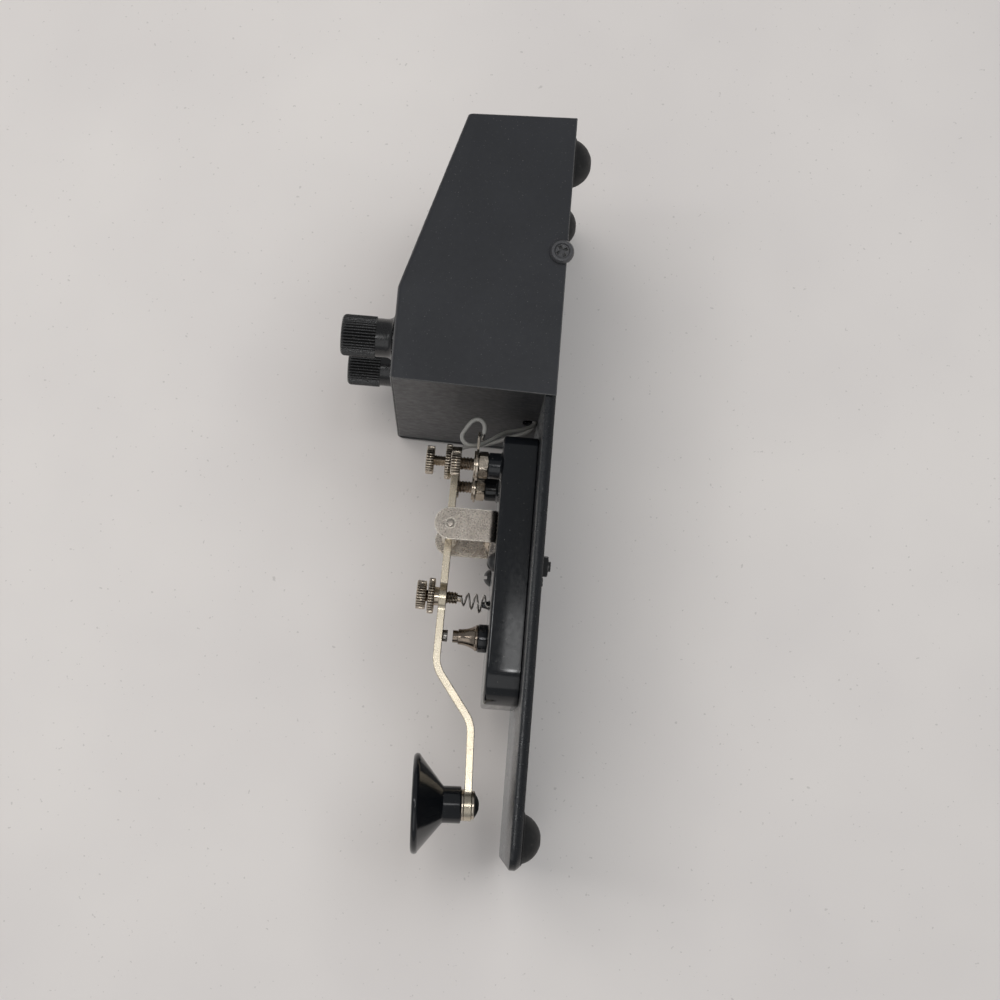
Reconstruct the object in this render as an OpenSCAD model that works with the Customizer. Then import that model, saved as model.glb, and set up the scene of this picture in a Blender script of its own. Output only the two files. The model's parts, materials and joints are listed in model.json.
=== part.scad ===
// Morse code practice oscillator: a straight key and a speaker cabinet on one steel plate.
// Sizes are in millimetres. +Z is up, the operator sits at the -Y end, the rubber feet
// stand on Z = 0, and the origin is under the middle of the instrument.

/* [Base plate] */
// Bare plate in front of the key base
apron_l = 45.95; // [44:0.05:60]
// Clear space between the key base and the cabinet
key_gap = 8.4; // [6:0.1:20]
// Thickness of the plate
plate_t = 3.2; // [2.6:0.1:5]
// Corner radius at the plate's front, seen from above
plate_corner_r = 6.3; // [2:0.1:12]
// Chamfer along the plate's lower edge
plate_chamfer = 1.2; // [0.2:0.1:2]

/* [Feet] */
// Diameter of a foot's dome
foot_d = 14; // [10:0.5:16]
// Width of the thin rim round the dome
foot_rim_w = 0.6; // [0.3:0.1:1.2]
// Thickness of that rim
foot_rim_t = 0.8; // [0.4:0.1:1.5]
// Height of a foot
foot_h = 5.6; // [4.6:0.1:10]
// Diameter of the flat that touches the table
foot_flat_d = 3; // [2:0.5:7]
// Distance between the left and right feet
foot_span = 64; // [56:0.5:74]
// Distance from a foot's centre to the nearer end of the plate
foot_inset = 8.6; // [8.3:0.1:14]

/* [Cabinet] */
// Overall width across the cabinet's sides
body_w = 95.25; // [92:0.25:110]
// Length of the cabinet along its lower edge
cab_l = 82.55; // [80:0.05:100]
// Height of the cabinet's front above the plate's underside
cab_front_h = 47.7; // [46:0.1:60]
// Height of the cabinet's rear above the plate's underside
cab_rear_h = 31.7; // [30:0.1:40]
// Length of the level top that carries the controls
cab_flat_l = 27; // [25:0.1:32]
// Lean of the front panel, as its setback at the top
front_lean = 1.25; // [0:0.05:3]
// Lean of the rear panel, as its setback at the top
rear_lean = 1.35; // [0:0.05:3]
// Thickness of the sheet metal
sheet_t = 1.2; // [0.8:0.1:1.5]
// Outside radius of the folds
bend_r = 1.6; // [1.6:0.1:3]
// Setback of the front panel behind the sides' edges
front_inset = 0.4; // [0:0.1:2]
// Setback of the rear panel behind the sides' edges
rear_inset = 1.5; // [0.5:0.1:3]
// Distance from the cabinet's lower front edge to the side screws
side_screw_setback = 42; // [36:0.5:50]
// Width of a panel's fixing tab
tab_w = 16; // [10:0.5:20]
// Depth of a panel's fixing tab
tab_l = 8; // [7:0.5:10]
// Distance between the two tabs of a panel
tab_span = 60; // [50:0.5:66]
// Width of the wire notch in the front panel
notch_w = 9; // [8:0.5:16]
// Height of the wire notch above the plate
notch_h = 4.5; // [3.5:0.1:8]

/* [Speaker] */
// Diameter of the speaker
speaker_d = 50; // [40:0.5:52]
// Depth of the speaker behind the sheet
speaker_depth = 18; // [14:0.5:19]
// Diameter of the magnet
magnet_d = 27; // [20:0.5:32]
// Diameter of a grille hole
grille_hole_d = 3.2; // [2:0.1:4]
// Distance between grille holes
grille_pitch = 5.8; // [5:0.1:6.4]
// Rings of grille holes round the middle one
grille_rings = 3; // [1:1:3]

/* [Controls] */
// Distance between the volume and tone controls
control_span = 42; // [36:0.5:56]
// Distance from the cabinet's lower front edge to the controls
control_setback = 18.8; // [16:0.1:20]
// Diameter of a control knob's fluted grip
dial_d = 12.4; // [11:0.1:16]
// Height of the fluted grip
dial_grip_h = 10.4; // [8:0.1:14]
// Height of the bare skirt under the grip
dial_skirt_h = 5.6; // [5:0.1:7]
// Height of the flare at the skirt's foot
dial_flare_h = 2.6; // [1.5:0.1:4]
// Flare of the skirt past the grip
dial_flare = 1; // [0.2:0.1:3]
// Rounding of the grip's upper edge
dial_round = 1.3; // [0.4:0.1:2]
// Flutes round the grip
dial_flutes = 40; // [20:1:48]
// Depth of a flute
dial_flute_depth = 0.35; // [0.1:0.05:0.6]
// Space between the knob and the sheet
dial_lift = 0.6; // [0.5:0.1:1.2]
// Diameter of the control's shaft
shaft_d = 6; // [4:0.1:6.4]
// Wall of the threaded bushing round the shaft
bushing_wall = 0.6; // [0.4:0.05:0.9]
// Diameter of the control's body
pot_d = 16; // [14:0.5:20]
// Depth of the control's body
pot_h = 9; // [6:0.5:12]

/* [Electronics] */
// Width of the circuit board
board_w = 70; // [66:0.5:80]
// Height of the board above the plate
board_lift = 5; // [3:0.1:6]
// Length of the battery
battery_l = 48.5; // [44:0.5:50]
// Width of the battery
battery_w = 26.5; // [24:0.5:27]
// Height of the battery
battery_h = 17.5; // [15:0.5:19]
// Bore of the phone jack
phone_bore_d = 3.6; // [2.6:0.1:3.8]
// Height of the jacks above the plate's underside
jack_h = 18; // [16:0.5:20]
// Distance between the two jacks
jack_span = 44; // [40:0.5:60]

/* [Key base] */
// Length of the moulded key base
key_l = 79; // [76:0.1:90]
// Width of the moulded key base
key_w = 54; // [52:0.5:64]
// Height of the moulded key base
key_h = 10.25; // [8:0.05:14]
// Radius of its front corners
key_front_r = 10.8; // [4:0.1:14]
// Radius of its rear corners
key_rear_r = 3.2; // [2:0.1:4.5]
// Chamfer along its upper edge
key_chamfer = 0.8; // [0.2:0.1:1.2]
// Distance between the two key screws
key_screw_span = 44; // [40:0.5:45]
// Distance from the base's rear to the key screws
key_screw_setback = 37.5; // [36.5:0.1:40]

/* [Bracket and lever] */
// Overall width of the bracket
bracket_w = 44; // [36:0.5:46]
// Thickness of the bracket's sheet
bracket_t = 1.4; // [1:0.1:2]
// Length of the bracket along the lever
bracket_l = 9.4; // [8.6:0.1:10.5]
// Height of the pivot above the key base
pivot_h = 13.75; // [12.5:0.05:18]
// Distance from the base's rear to the pivot
pivot_setback = 26.9; // [26:0.1:28]
// Diameter of the pivot pin
pin_d = 2.4; // [1.6:0.1:3]
// Wall of the sleeve that turns on the pin
sleeve_wall = 1.3; // [0.8:0.1:2]
// Width of the lever's strap
strap_w = 6.4; // [5:0.1:8]
// Thickness of the lever's strap
strap_t = 2.3; // [1.6:0.1:3]
// Diameter of the lever's round eyes
eye_d = 9.5; // [8.5:0.1:10.5]
// Height of the strap's middle above the pivot
strap_lift = 0.3; // [0:0.05:1]
// Upward tilt of the lever's front at rest, in degrees
lever_tilt = 1; // [0:0.1:1.5]
// Distance from the pivot to the first bend
bend_arm = 41.1; // [40:0.1:46]
// Length of the sloping stretch, measured level
slope_run = 16; // [14:0.1:20]
// Drop of the lever from the straight stretch to the tongue
lever_drop = 12.3; // [9:0.1:12.6]
// Radius of the bends at the strap's middle
strap_bend_r = 10; // [6:0.1:12]
// Downward slope of the tongue that carries the knob, in degrees
tongue_drop = 3.3; // [0:0.1:4]
// Distance from the pivot to the key knob
knob_arm = 81.5; // [79:0.1:83]

/* [Key knob] */
// Diameter of the knob's rim
knob_d = 30; // [24:0.5:34]
// Diameter of the knob's collar
collar_d = 11.1; // [9.5:0.1:13]
// Height of the collar
collar_h = 5.5; // [4:0.1:8]
// Height of the flared part
flare_h = 6.9; // [5:0.1:10]
// Thickness of the rim
rim_t = 2.3; // [1.6:0.1:4]
// Depth of the dish in the knob's top
dish = 0.5; // [0.2:0.1:1]
// Diameter of the knob's screw
knob_screw_d = 4; // [3:0.1:5]

/* [Adjusting screws] */
// Distance from the pivot to the tension screw
tension_arm = 19.9; // [18:0.1:22]
// Diameter of the tension screw
tension_d = 3.9; // [3:0.1:4.2]
// Distance from the pivot to the gap screw
gap_arm = 21.8; // [19:0.1:22]
// Diameter of the gap screw
gap_d = 3.4; // [3:0.1:4.2]
// Diameter of the knurled screw heads
thumb_d = 8.8; // [7:0.1:10]
// Thickness of the tension screw's head
tension_head_t = 3; // [2:0.1:4]
// Thickness of the gap screw's head
gap_head_t = 2.6; // [2:0.1:4]
// Diameter of the lock nuts
lock_d = 10.9; // [9:0.1:12]
// Thickness of the tension lock nut
tension_lock_t = 2.1; // [1.5:0.1:3]
// Thickness of the gap lock nut
gap_lock_t = 2; // [1.5:0.1:3]
// Ridges round a knurled head
knurl_count = 28; // [16:1:40]
// Depth of the knurling
knurl_depth = 0.35; // [0.1:0.05:0.5]

/* [Spring] */
// Curls of the return spring
spring_turns = 3; // [2.5:0.5:5.5]
// Diameter of the spring wire
spring_wire = 0.6; // [0.4:0.05:0.7]
// Radius of the spring's lowest curl, at the wire's middle
spring_foot_r = 2.9; // [2.6:0.1:3.4]
// Radius of the spring's highest curl, at the wire's middle
spring_top_r = 1.75; // [1.7:0.05:2.4]
// How far the spring's foot stands ahead of its top
spring_lean = 1.5; // [0:0.1:2]

/* [Contacts] */
// Distance from the pivot to the contacts
contact_arm = 31.6; // [30:0.1:33]
// Diameter of the upper contact stud
stud_d = 3.65; // [3:0.05:4]
// Length of the upper contact stud below the strap
stud_h = 1.5; // [1:0.1:2.2]
// Gap between the contacts at rest
contact_gap = 1.55; // [0.6:0.05:1.6]
// Diameter of the lower contact's tip
tip_d = 3.8; // [3:0.1:4.2]
// Diameter of the lower contact's flange
flange_d = 8; // [7:0.1:9]
// Diameter of the insulating washer
washer_d = 8.6; // [7.5:0.1:10]
// Thickness of the insulating washer
washer_t = 2.7; // [1.5:0.1:3]

/* [Terminals] */
// Distance between the two terminals
terminal_span = 45; // [42:0.5:46]
// Distance from the base's rear to the terminals
terminal_setback = 9; // [8:0.1:10]
// Diameter of the moulded boss under a terminal
boss_d = 7.7; // [7:0.1:8]
// Height of the moulded boss
boss_h = 4; // [2:0.1:5]
// Diameter of a terminal's stud
terminal_d = 4; // [3:0.1:4.4]
// Thickness of a terminal's hexagon nut
terminal_nut_t = 3; // [2:0.1:4]
// Thickness of a solder lug
lug_t = 0.7; // [0.4:0.1:1]
// Diameter of a solder lug's ring
lug_ring_d = 9.4; // [8.5:0.1:10]
// Distance from the stud to the end of the lug's tail
lug_reach = 9.8; // [9:0.1:12]
// Width of the lug's tail
lug_w = 4.2; // [3:0.1:5]
// Thickness of the washer on a solder lug
terminal_washer_t = 0.6; // [0.4:0.1:1]
// Diameter of a thumb nut
thumb_nut_d = 7.3; // [6.5:0.1:9]
// Thickness of a thumb nut
thumb_nut_t = 2.9; // [2.5:0.1:4.5]
// Bare thread between the washer and the thumb nut
thread_show = 3.9; // [2:0.1:5]

/* [Clearances] */
// Space between the plate's edge and the sheet
fit_gap = 0.1; // [0.05:0.05:0.3]
// Space between a panel and the sheet round it
panel_gap = 0.35; // [0.2:0.05:0.6]
// Radial space round a screw in its hole
thread_gap = 0.05; // [0.03:0.01:0.1]
// Radial space round a turning shaft or pin
run_gap = 0.05; // [0.02:0.01:0.1]
// Side play of the lever's sleeve in the bracket, each side
sleeve_play = 0.3; // [0.2:0.05:0.6]
// Space under a stop or a spring's end at rest
rest_gap = 0.12; // [0.08:0.01:0.2]

/* [Hidden] */
$fn = 48;

// A cut runs this far past a face, and a hull's thin edge pieces are this thin
past = 1;
thin = 0.01;

// Colours as the object shows them
charcoal = "#3a3b3c";
gloss_black = "#101114";
rubber_black = "#191919";
nickel = "#cbc4b2";
steel = "#b4b4b2";
board_green = "#2f5a3a";
paper_black = "#222222";
wire_grey = "#9b9a95";

// Where the main pieces lie
plate_l = cab_l + key_gap + key_l + apron_l;
plate_w = body_w - 2 * (sheet_t + fit_gap);
front_y = -plate_l / 2;
rear_y = plate_l / 2;
cab_y = rear_y - cab_l;
key_rear_y = cab_y - key_gap;
key_front_y = key_rear_y - key_l;
plate_z = foot_h;
plate_top = plate_z + plate_t;
cab_top = plate_z + cab_front_h;
key_top = plate_top + key_h;

// The cabinet's outline, seen from the side
knee_y = cab_y + front_lean + cab_flat_l;
tail_y = rear_y - rear_lean;
tail_z = plate_z + cab_rear_h;
slope_a = atan2(cab_top - tail_z, tail_y - knee_y);
front_a = atan2(front_lean, cab_front_h);
rear_a = atan2(rear_lean, cab_rear_h);
inner_w = body_w - 2 * sheet_t;
inner_bend_r = bend_r - sheet_t + 0.2;
panel_w = inner_w - 2 * panel_gap;

// Fasteners of the cabinet
side_screw_d = 2.2;
side_head_d = 7;
side_head_h = 2;
side_screw_l = 9;
panel_screw_d = 3;
panel_head_d = 5.4;
panel_head_h = 1.8;

// Controls
bushing_d = shaft_d + 2 * (run_gap + bushing_wall);
bushing_rise = 4.2;
pot_nut_af = bushing_d + 1.5;
pot_nut_t = 1.6;
dial_clear = 0.4;
dial_recess_d = pot_nut_af / cos(30) + 2 * dial_clear;
dial_rim_t = 0.5;
dial_cap_t = 2.5;
dial_y = cab_y + control_setback;
dial_h = dial_grip_h + dial_skirt_h;
shaft_rise = dial_lift + dial_h - dial_cap_t;

// Speaker, measured down from the sheet it hangs under
speaker_rim_t = 1.2;
speaker_rim_w = 4;
magnet_t = 6;
basket_h = speaker_depth - magnet_t;
coil_r = 6;

// Circuit board, battery and jacks
board_t = 1.6;
spacer_d = 5;
spacer_inset = 4;
board_screw_d = 2.5;
chip_x = -12;
can_x = 25;
can_y = 8;
resistor_pitch = 4;
board_z = plate_top + board_lift;
clip_t = 0.8;
clip_w = 14;
clip_reach = battery_w / 2 + fit_gap + clip_t;
battery_y = cab_y + front_inset + sheet_t + tab_l + 0.5 + clip_reach;
battery_x = -6;
battery_z = plate_top + clip_t;
board_front_y = battery_y + clip_reach + 2;
board_rear_y = rear_y - rear_inset - sheet_t - tab_l + 0.7;
board_l = board_rear_y - board_front_y;
board_y = (board_rear_y + board_front_y) / 2;
snap_pitch = 12.7;
snap_d = 6;
snap_rise = 2.6;
snap_t = 4;
phone_bushing_d = 6;
phone_body = [9, 10, 12];
power_tube_d = 8;
power_body = [9, 11, 13];
power_bore_d = 5.7;
power_pin_d = 2;
jack_rise = 2.1;
jack_nut_t = 1.6;

// Key
key_screw_y = key_rear_y - key_screw_setback;
key_screw_x = key_screw_span / 2;
key_screw_d = 3;
key_head_d = 5.6;
key_head_h = 2.2;
key_nut_af = 5.8;
key_nut_t = 2.4;
pivot_y = key_rear_y - pivot_setback;
pivot_z = key_top + pivot_h;
bracket_bend_r = 2.2;
bracket_screw_x = 12;
bracket_screw_d = 3.5;
bracket_head_d = 7.2;
bracket_head_h = 2;
pin_show = 0.3;
sleeve_l = bracket_w - 2 * (bracket_t + sleeve_play);
rear_boss_t = strap_t + 0.6;
rear_boss_d = eye_d + 0.3;

// The lever's own frame has its origin at the pivot and its strap level
bend2_arm = bend_arm + slope_run;
tongue_w = strap_lift - lever_drop;
knob_w = tongue_w - (knob_arm - bend2_arm) * tan(tongue_drop);
tip_arm = knob_arm + eye_d / 2;
tip_w = tongue_w - (tip_arm - bend2_arm) * tan(tongue_drop);
strap_top = strap_lift + strap_t / 2;
strap_foot = strap_lift - strap_t / 2;
boss_top = strap_lift + rear_boss_t / 2;

// Key knob fixings, measured from the strap's middle along the knob's axis
upper_washer_t = 0.8;
lower_washer_t = 0.9;
knob_seat = strap_t / 2 + upper_washer_t;
knob_screw_head_d = 7.3;
knob_screw_head_h = 1.4;
knob_thread_l = 6;

// Adjusting screws, measured from the pivot in the lever's frame
lock_shoulder_h = 1.3;
tension_head_gap = 0.5;
gap_head_rise = 3.3;
tension_lock_z = strap_top + lock_shoulder_h;
tension_head_z = tension_lock_z + tension_lock_t + tension_head_gap;
tension_foot_z = strap_foot - 3.3;
pilot_d = 2.2;
pilot_l = 1.5;
gap_lock_z = boss_top;
gap_head_z = gap_lock_z + gap_lock_t + gap_head_rise;
gap_tip_z = (key_top + rest_gap - pivot_z + gap_arm * sin(lever_tilt)) / cos(lever_tilt);

// Return spring, from the key base up to the shoulder of the tension screw
spring_y = pivot_y - tension_arm - spring_lean;
spring_top_y = pivot_y - tension_arm * cos(lever_tilt) + tension_foot_z * sin(lever_tilt);
spring_top_z = pivot_z + tension_arm * sin(lever_tilt) + tension_foot_z * cos(lever_tilt) - rest_gap;
spring_sides = 6;
spring_steps = 8;
nub_d = 2.6;
nub_h = 2.4;

// Contacts
stud_foot = strap_foot - stud_h;
contact_y = pivot_y - contact_arm;
lower_tip_z = pivot_z + contact_arm * sin(lever_tilt) + stud_foot * cos(lever_tilt) - contact_gap;
flange_z = key_top + washer_t;
flange_t = 1;
neck_d = tip_d + 0.9;
tip_h = 1.7;
contact_stem_d = 3;
contact_stem_l = 6;

// Terminals
terminal_y = key_rear_y - terminal_setback;
terminal_x = terminal_span / 2;
boss_z = key_top + boss_h;
terminal_nut_af = terminal_d + 3;
lug_z = boss_z + terminal_nut_t;
terminal_washer_d = 2 * terminal_d;
terminal_washer_z = lug_z + lug_t;
thumb_nut_z = terminal_washer_z + terminal_washer_t + thread_show;
terminal_depth = 8;

// Hook-up wires from the notch in the front panel to the solder lugs
wire_d = 1.25;
wire_sides = 8;
near_route = [
    [2.5, 31, 9.6], [2.5, 27, 9.6], [2.8, 25, 10.2], [4.5, 23.5, 12], [6.5, 22.2, 15], [8.5, 21, 18.2],
    [11, 19.4, 20.4], [13.5, 17.6, 22.4], [15.6, 16, 24.4], [17.2, 14.8, 26.4], [18.2, 14.3, 28.3],
    [18.9, 14.5, 30], [19.35, 15.5, 31.2], [19.8, 17, 31.5], [20.35, 18.7, 30.6], [20.9, 20.2, 29.6],
    [21.3, 21.25, 28.6], [21.65, 21.7, 27.35], [22, 21.3, 26.1], [22.25, 20.35, 25.3], [22.45, 19.1, 25],
    [22.5, 17.9, 25.1], [22.5, 16.6, 25.3], [22.5, 15.2, 25.4]
];
far_route = [
    [-2.5, 31, 9.6], [-2.5, 27, 9.6], [-2.8, 25, 10.2], [-3.8, 23.6, 12], [-5.5, 22.8, 14.6],
    [-8, 22.4, 17.2], [-10.2, 22, 18.8], [-12.5, 21.5, 21], [-14.5, 21, 23.4], [-16.5, 20.9, 25.5],
    [-18.3, 20.9, 27.4], [-19.8, 20.7, 29.4], [-21, 20.2, 31.2], [-22, 19, 32.4], [-22.6, 17.4, 32.8],
    [-22.8, 15.8, 32.2], [-22.7, 14.7, 30.8], [-22.6, 14.2, 29.2], [-22.5, 14, 28], [-22.5, 14, 26.78]
];

// Tools for swept tubes and bent strip
function unit(v) = v / norm(v);
function path_tangent(path, i) = unit(path[min(i + 1, len(path) - 1)] - path[max(i - 1, 0)]);
function side_axis(t) = unit(cross(t, abs(t[2]) < 0.8 ? [0, 0, 1] : [1, 0, 0]));

// The first ring's side direction is carried along the path, so the tube doesn't twist
function carried(path, i) =
    i == 0 ? side_axis(path_tangent(path, 0))
    : let (t = path_tangent(path, i), s = carried(path, i - 1)) unit(s - t * (s * t));

module swept_tube(path, d, sides) {
    n = len(path);
    rings = [for (i = [0:n - 1])
        let (t = path_tangent(path, i), u = carried(path, i), v = cross(t, u))
        for (k = [0:sides - 1])
            path[i] + d / 2 * (cos(360 * k / sides) * u + sin(360 * k / sides) * v)];
    walls = [for (i = [0:n - 2], k = [0:sides - 1])
        let (a = i * sides + k, b = i * sides + (k + 1) % sides)
        each [[a, a + sides, b], [b, a + sides, b + sides]]];
    first_cap = [for (k = [1:sides - 2]) [0, k, k + 1]];
    last = (n - 1) * sides;
    last_cap = [for (k = [1:sides - 2]) [last, last + k + 1, last + k]];
    polyhedron(points = rings, faces = concat(walls, first_cap, last_cap), convexity = 6);
}

function heading(a, b) = atan2(b[1] - a[1], b[0] - a[0]);

// Points along a strip's middle, each with the direction across the strip
function bent_strip(p, r, steps) = concat(
    [[p[0], across(heading(p[0], p[1]))]],
    [for (i = [1:len(p) - 2]) each bend_points(p[i - 1], p[i], p[i + 1], r, steps)],
    [[p[len(p) - 1], across(heading(p[len(p) - 2], p[len(p) - 1]))]]);
function across(a) = [-sin(a), cos(a)];
function signed_turn(a) = a > 180 ? a - 360 : a < -180 ? a + 360 : a;
function bend_points(a, b, c, r, steps) =
    let (h1 = heading(a, b), turn = signed_turn(heading(b, c) - h1), way = sign(turn),
         cut = r * tan(abs(turn) / 2), start = b - cut * [cos(h1), sin(h1)],
         centre = start + way * r * across(h1))
    [for (k = [0:steps]) let (n = across(h1 + turn * k / steps)) [centre - way * r * n, n]];

module strip_2d(p, r, t, steps = 8) {
    s = bent_strip(p, r, steps);
    polygon(concat(
        [for (q = s) q[0] + t / 2 * q[1]],
        [for (i = [len(s) - 1:-1:0]) s[i][0] - t / 2 * s[i][1]]));
}

// Shapes that repeat
module side_extrude(w) {
    rotate([90, 0, 90]) linear_extrude(w, center = true) children();
}

module end_extrude(l) {
    rotate([90, 0, 0]) linear_extrude(l, center = true) children();
}

module knurled_2d(d, count, depth) {
    polygon([for (i = [0:2 * count - 1])
        (d / 2 - (i % 2) * depth) * [cos(180 * i / count), sin(180 * i / count)]]);
}

module hex_nut(af, t, hole) {
    difference() {
        cylinder(d = af / cos(30), h = t, $fn = 6);
        translate([0, 0, -past]) cylinder(d = hole, h = t + 2 * past);
    }
}

module knurled_nut(d, t, hole) {
    difference() {
        linear_extrude(t) knurled_2d(d, knurl_count, knurl_depth);
        translate([0, 0, -past]) cylinder(d = hole, h = t + 2 * past);
    }
}

module flat_washer(d, t, hole) {
    difference() {
        cylinder(d = d, h = t);
        translate([0, 0, -past]) cylinder(d = hole, h = t + 2 * past);
    }
}

// A round-headed screw: the head stands on Z = 0 and the shank hangs below it
module round_screw(head_d, head_h, d, l) {
    dome_r = (head_d * head_d / 4 + head_h * head_h) / (2 * head_h);
    slot_w = head_d * 0.16;
    difference() {
        intersection() {
            translate([0, 0, head_h - dome_r]) sphere(dome_r);
            cylinder(d = head_d, h = head_h);
        }
        translate([-head_d, -slot_w / 2, head_h * 0.55]) cube([2 * head_d, slot_w, head_h]);
    }
    translate([0, 0, -l]) cylinder(d = d, h = l);
}

// A pan-headed screw with a cross recess
module pan_screw(head_d, head_h, d, l) {
    arm = head_d * 0.55;
    arm_w = head_d * 0.14;
    difference() {
        union() {
            cylinder(d = head_d, h = head_h * 0.5);
            translate([0, 0, head_h * 0.5]) cylinder(d1 = head_d, d2 = head_d * 0.72, h = head_h * 0.5);
        }
        for (a = [0, 90])
            rotate(a) translate([-arm / 2, -arm_w / 2, head_h * 0.45]) cube([arm, arm_w, head_h]);
    }
    translate([0, 0, -l]) cylinder(d = d, h = l);
}

// Frames that pieces are placed in
module on_both(x) {
    for (s = [-1, 1]) translate([s * x, 0, 0]) children();
}

module at_lever() {
    translate([0, pivot_y, pivot_z]) rotate([-lever_tilt, 0, 0]) children();
}

module at_tongue() {
    at_lever() translate([0, -knob_arm, knob_w]) rotate([tongue_drop, 0, 0]) children();
}

module at_slope() {
    translate([0, (knee_y + tail_y) / 2, (cab_top + tail_z) / 2]) rotate([-slope_a, 0, 0]) children();
}

module at_rear(x) {
    translate([x, rear_y - rear_inset - rear_lean * jack_h / cab_rear_h, plate_z + jack_h])
        rotate([rear_a - 90, 0, 0]) children();
}

module at_panel_tabs() {
    for (s = [-1, 1]) {
        translate([s * tab_span / 2, cab_y + front_inset + sheet_t + tab_l / 2, plate_top]) children();
        translate([s * tab_span / 2, rear_y - rear_inset - sheet_t - tab_l / 2, plate_top]) children();
    }
}

module at_side_screws() {
    for (s = [-1, 1])
        translate([s * body_w / 2, cab_y + side_screw_setback, plate_z + plate_t / 2]) rotate([0, s * 90, 0])
            children();
}

module at_board_corners() {
    for (sx = [-1, 1], sy = [-1, 1])
        translate([sx * (board_w / 2 - spacer_inset), board_y + sy * (board_l / 2 - spacer_inset), 0])
            children();
}

module at_key_screws() {
    on_both(key_screw_x) translate([0, key_screw_y, 0]) children();
}

module at_terminals() {
    on_both(terminal_x) translate([0, terminal_y, 0]) children();
}

// Base plate and feet
module plate_outline() {
    r = plate_corner_r;
    end_y = rear_y - rear_inset;
    translate([-plate_w / 2, front_y + r]) square([plate_w, end_y - front_y - r]);
    translate([r - plate_w / 2, front_y]) square([plate_w - 2 * r, r]);
    on_both(plate_w / 2 - r) translate([0, front_y + r]) circle(r);
}

// The section of the wedge that a chamfer takes off an edge at distance x
module chamfer_section(x) {
    c = plate_chamfer;
    polygon([[x - c - past, -past], [x + past, c + past], [x + past, -past]]);
}

module plate_chamfers() {
    r = plate_corner_r;
    run = plate_l - r;
    for (m = [0, 1]) mirror([m, 0, 0]) {
        translate([0, front_y + r + run / 2, 0]) end_extrude(run) chamfer_section(plate_w / 2);
        translate([plate_w / 2 - r, front_y + r, 0]) rotate(-90)
            rotate_extrude(angle = 90) chamfer_section(r);
    }
    translate([0, front_y, 0]) rotate([0, 0, -90]) end_extrude(plate_w - 2 * r) chamfer_section(0);
}

module base_plate() {
    color(charcoal) difference() {
        translate([0, 0, plate_z]) linear_extrude(plate_t) plate_outline();
        translate([0, 0, plate_z]) plate_chamfers();
        at_key_screws() translate([0, 0, plate_z - past])
            cylinder(d = key_screw_d + 2 * thread_gap, h = plate_t + 2 * past);
        at_panel_tabs() translate([0, 0, -plate_t - past])
            cylinder(d = panel_screw_d + 2 * thread_gap, h = plate_t + 2 * past);
        at_board_corners() translate([0, 0, plate_z - past])
            cylinder(d = board_screw_d + 2 * thread_gap, h = plate_t + 2 * past);
        at_side_screws() translate([0, 0, -side_screw_l - past])
            cylinder(d = side_screw_d + 2 * thread_gap, h = side_screw_l + 2 * past);
    }
}

// A foot is a cap of a ball with a small flat and a thin rim
module rubber_feet() {
    dome_h = foot_h - foot_rim_t;
    flat_r = foot_flat_d / 2;
    rim_r = foot_d / 2 + foot_rim_w;
    centre_z = (foot_d * foot_d / 4 + dome_h * dome_h - flat_r * flat_r) / (2 * dome_h);
    dome_r = norm([flat_r, centre_z]);
    first_a = asin(flat_r / dome_r);
    last_a = atan2(foot_d / 2, centre_z - dome_h);
    steps = 6;
    color(rubber_black)
        for (sx = [-1, 1], y = [front_y + foot_inset, rear_y - foot_inset])
            translate([sx * foot_span / 2, y, 0]) rotate_extrude()
                polygon(concat(
                    [[0, 0]],
                    [for (i = [0:steps]) let (a = first_a + (last_a - first_a) * i / steps)
                        [dome_r * sin(a), centre_z - dome_r * cos(a)]],
                    [[rim_r, dome_h + foot_rim_t / 3], [rim_r, foot_h], [0, foot_h]]));
}

// Cabinet
module fold_disc(r) {
    rotate([-90, 0, 0]) cylinder(r = r, h = thin, $fn = 32);
}

module cover_block(w, r, drop, ahead) {
    top_z = cab_top - drop;
    knee = knee_y - drop * tan(slope_a / 2);
    end_z = tail_z - drop / cos(slope_a) - ahead * tan(slope_a);
    hull() {
        translate([-w / 2, cab_y - ahead, plate_z - ahead]) cube([w, cab_l + 2 * ahead, thin]);
        on_both(w / 2 - r) {
            translate([0, cab_y + front_lean - ahead, top_z - r]) fold_disc(r);
            translate([0, knee, top_z - r]) fold_disc(r);
            translate([0, tail_y + ahead - thin, end_z - r]) fold_disc(r);
        }
    }
}

// Holes on rings of six, twelve and eighteen round a middle hole
module grille() {
    for (ring = [0:grille_rings]) {
        count = max(1, 6 * ring);
        for (i = [0:count - 1])
            rotate(360 * i / count) translate([ring * grille_pitch, 0, -sheet_t - past])
                cylinder(d = grille_hole_d, h = sheet_t + 2 * past, $fn = 24);
    }
}

module cabinet_cover() {
    color(charcoal) difference() {
        cover_block(body_w, bend_r, 0, 0);
        cover_block(inner_w, inner_bend_r, sheet_t, 4);
        on_both(control_span / 2) translate([0, dial_y, cab_top - sheet_t - past])
            cylinder(d = bushing_d + 2 * thread_gap, h = sheet_t + 2 * past);
        at_slope() grille();
        at_side_screws() translate([0, 0, -sheet_t - past])
            cylinder(d = side_screw_d + 4 * thread_gap, h = sheet_t + 2 * past);
    }
}

module panel_tab() {
    difference() {
        translate([-tab_w / 2, -tab_l / 2 - sheet_t, 0]) cube([tab_w, tab_l + sheet_t, sheet_t]);
        translate([0, 0, -past]) cylinder(d = panel_screw_d + 2 * thread_gap, h = sheet_t + 2 * past);
    }
}

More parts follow.
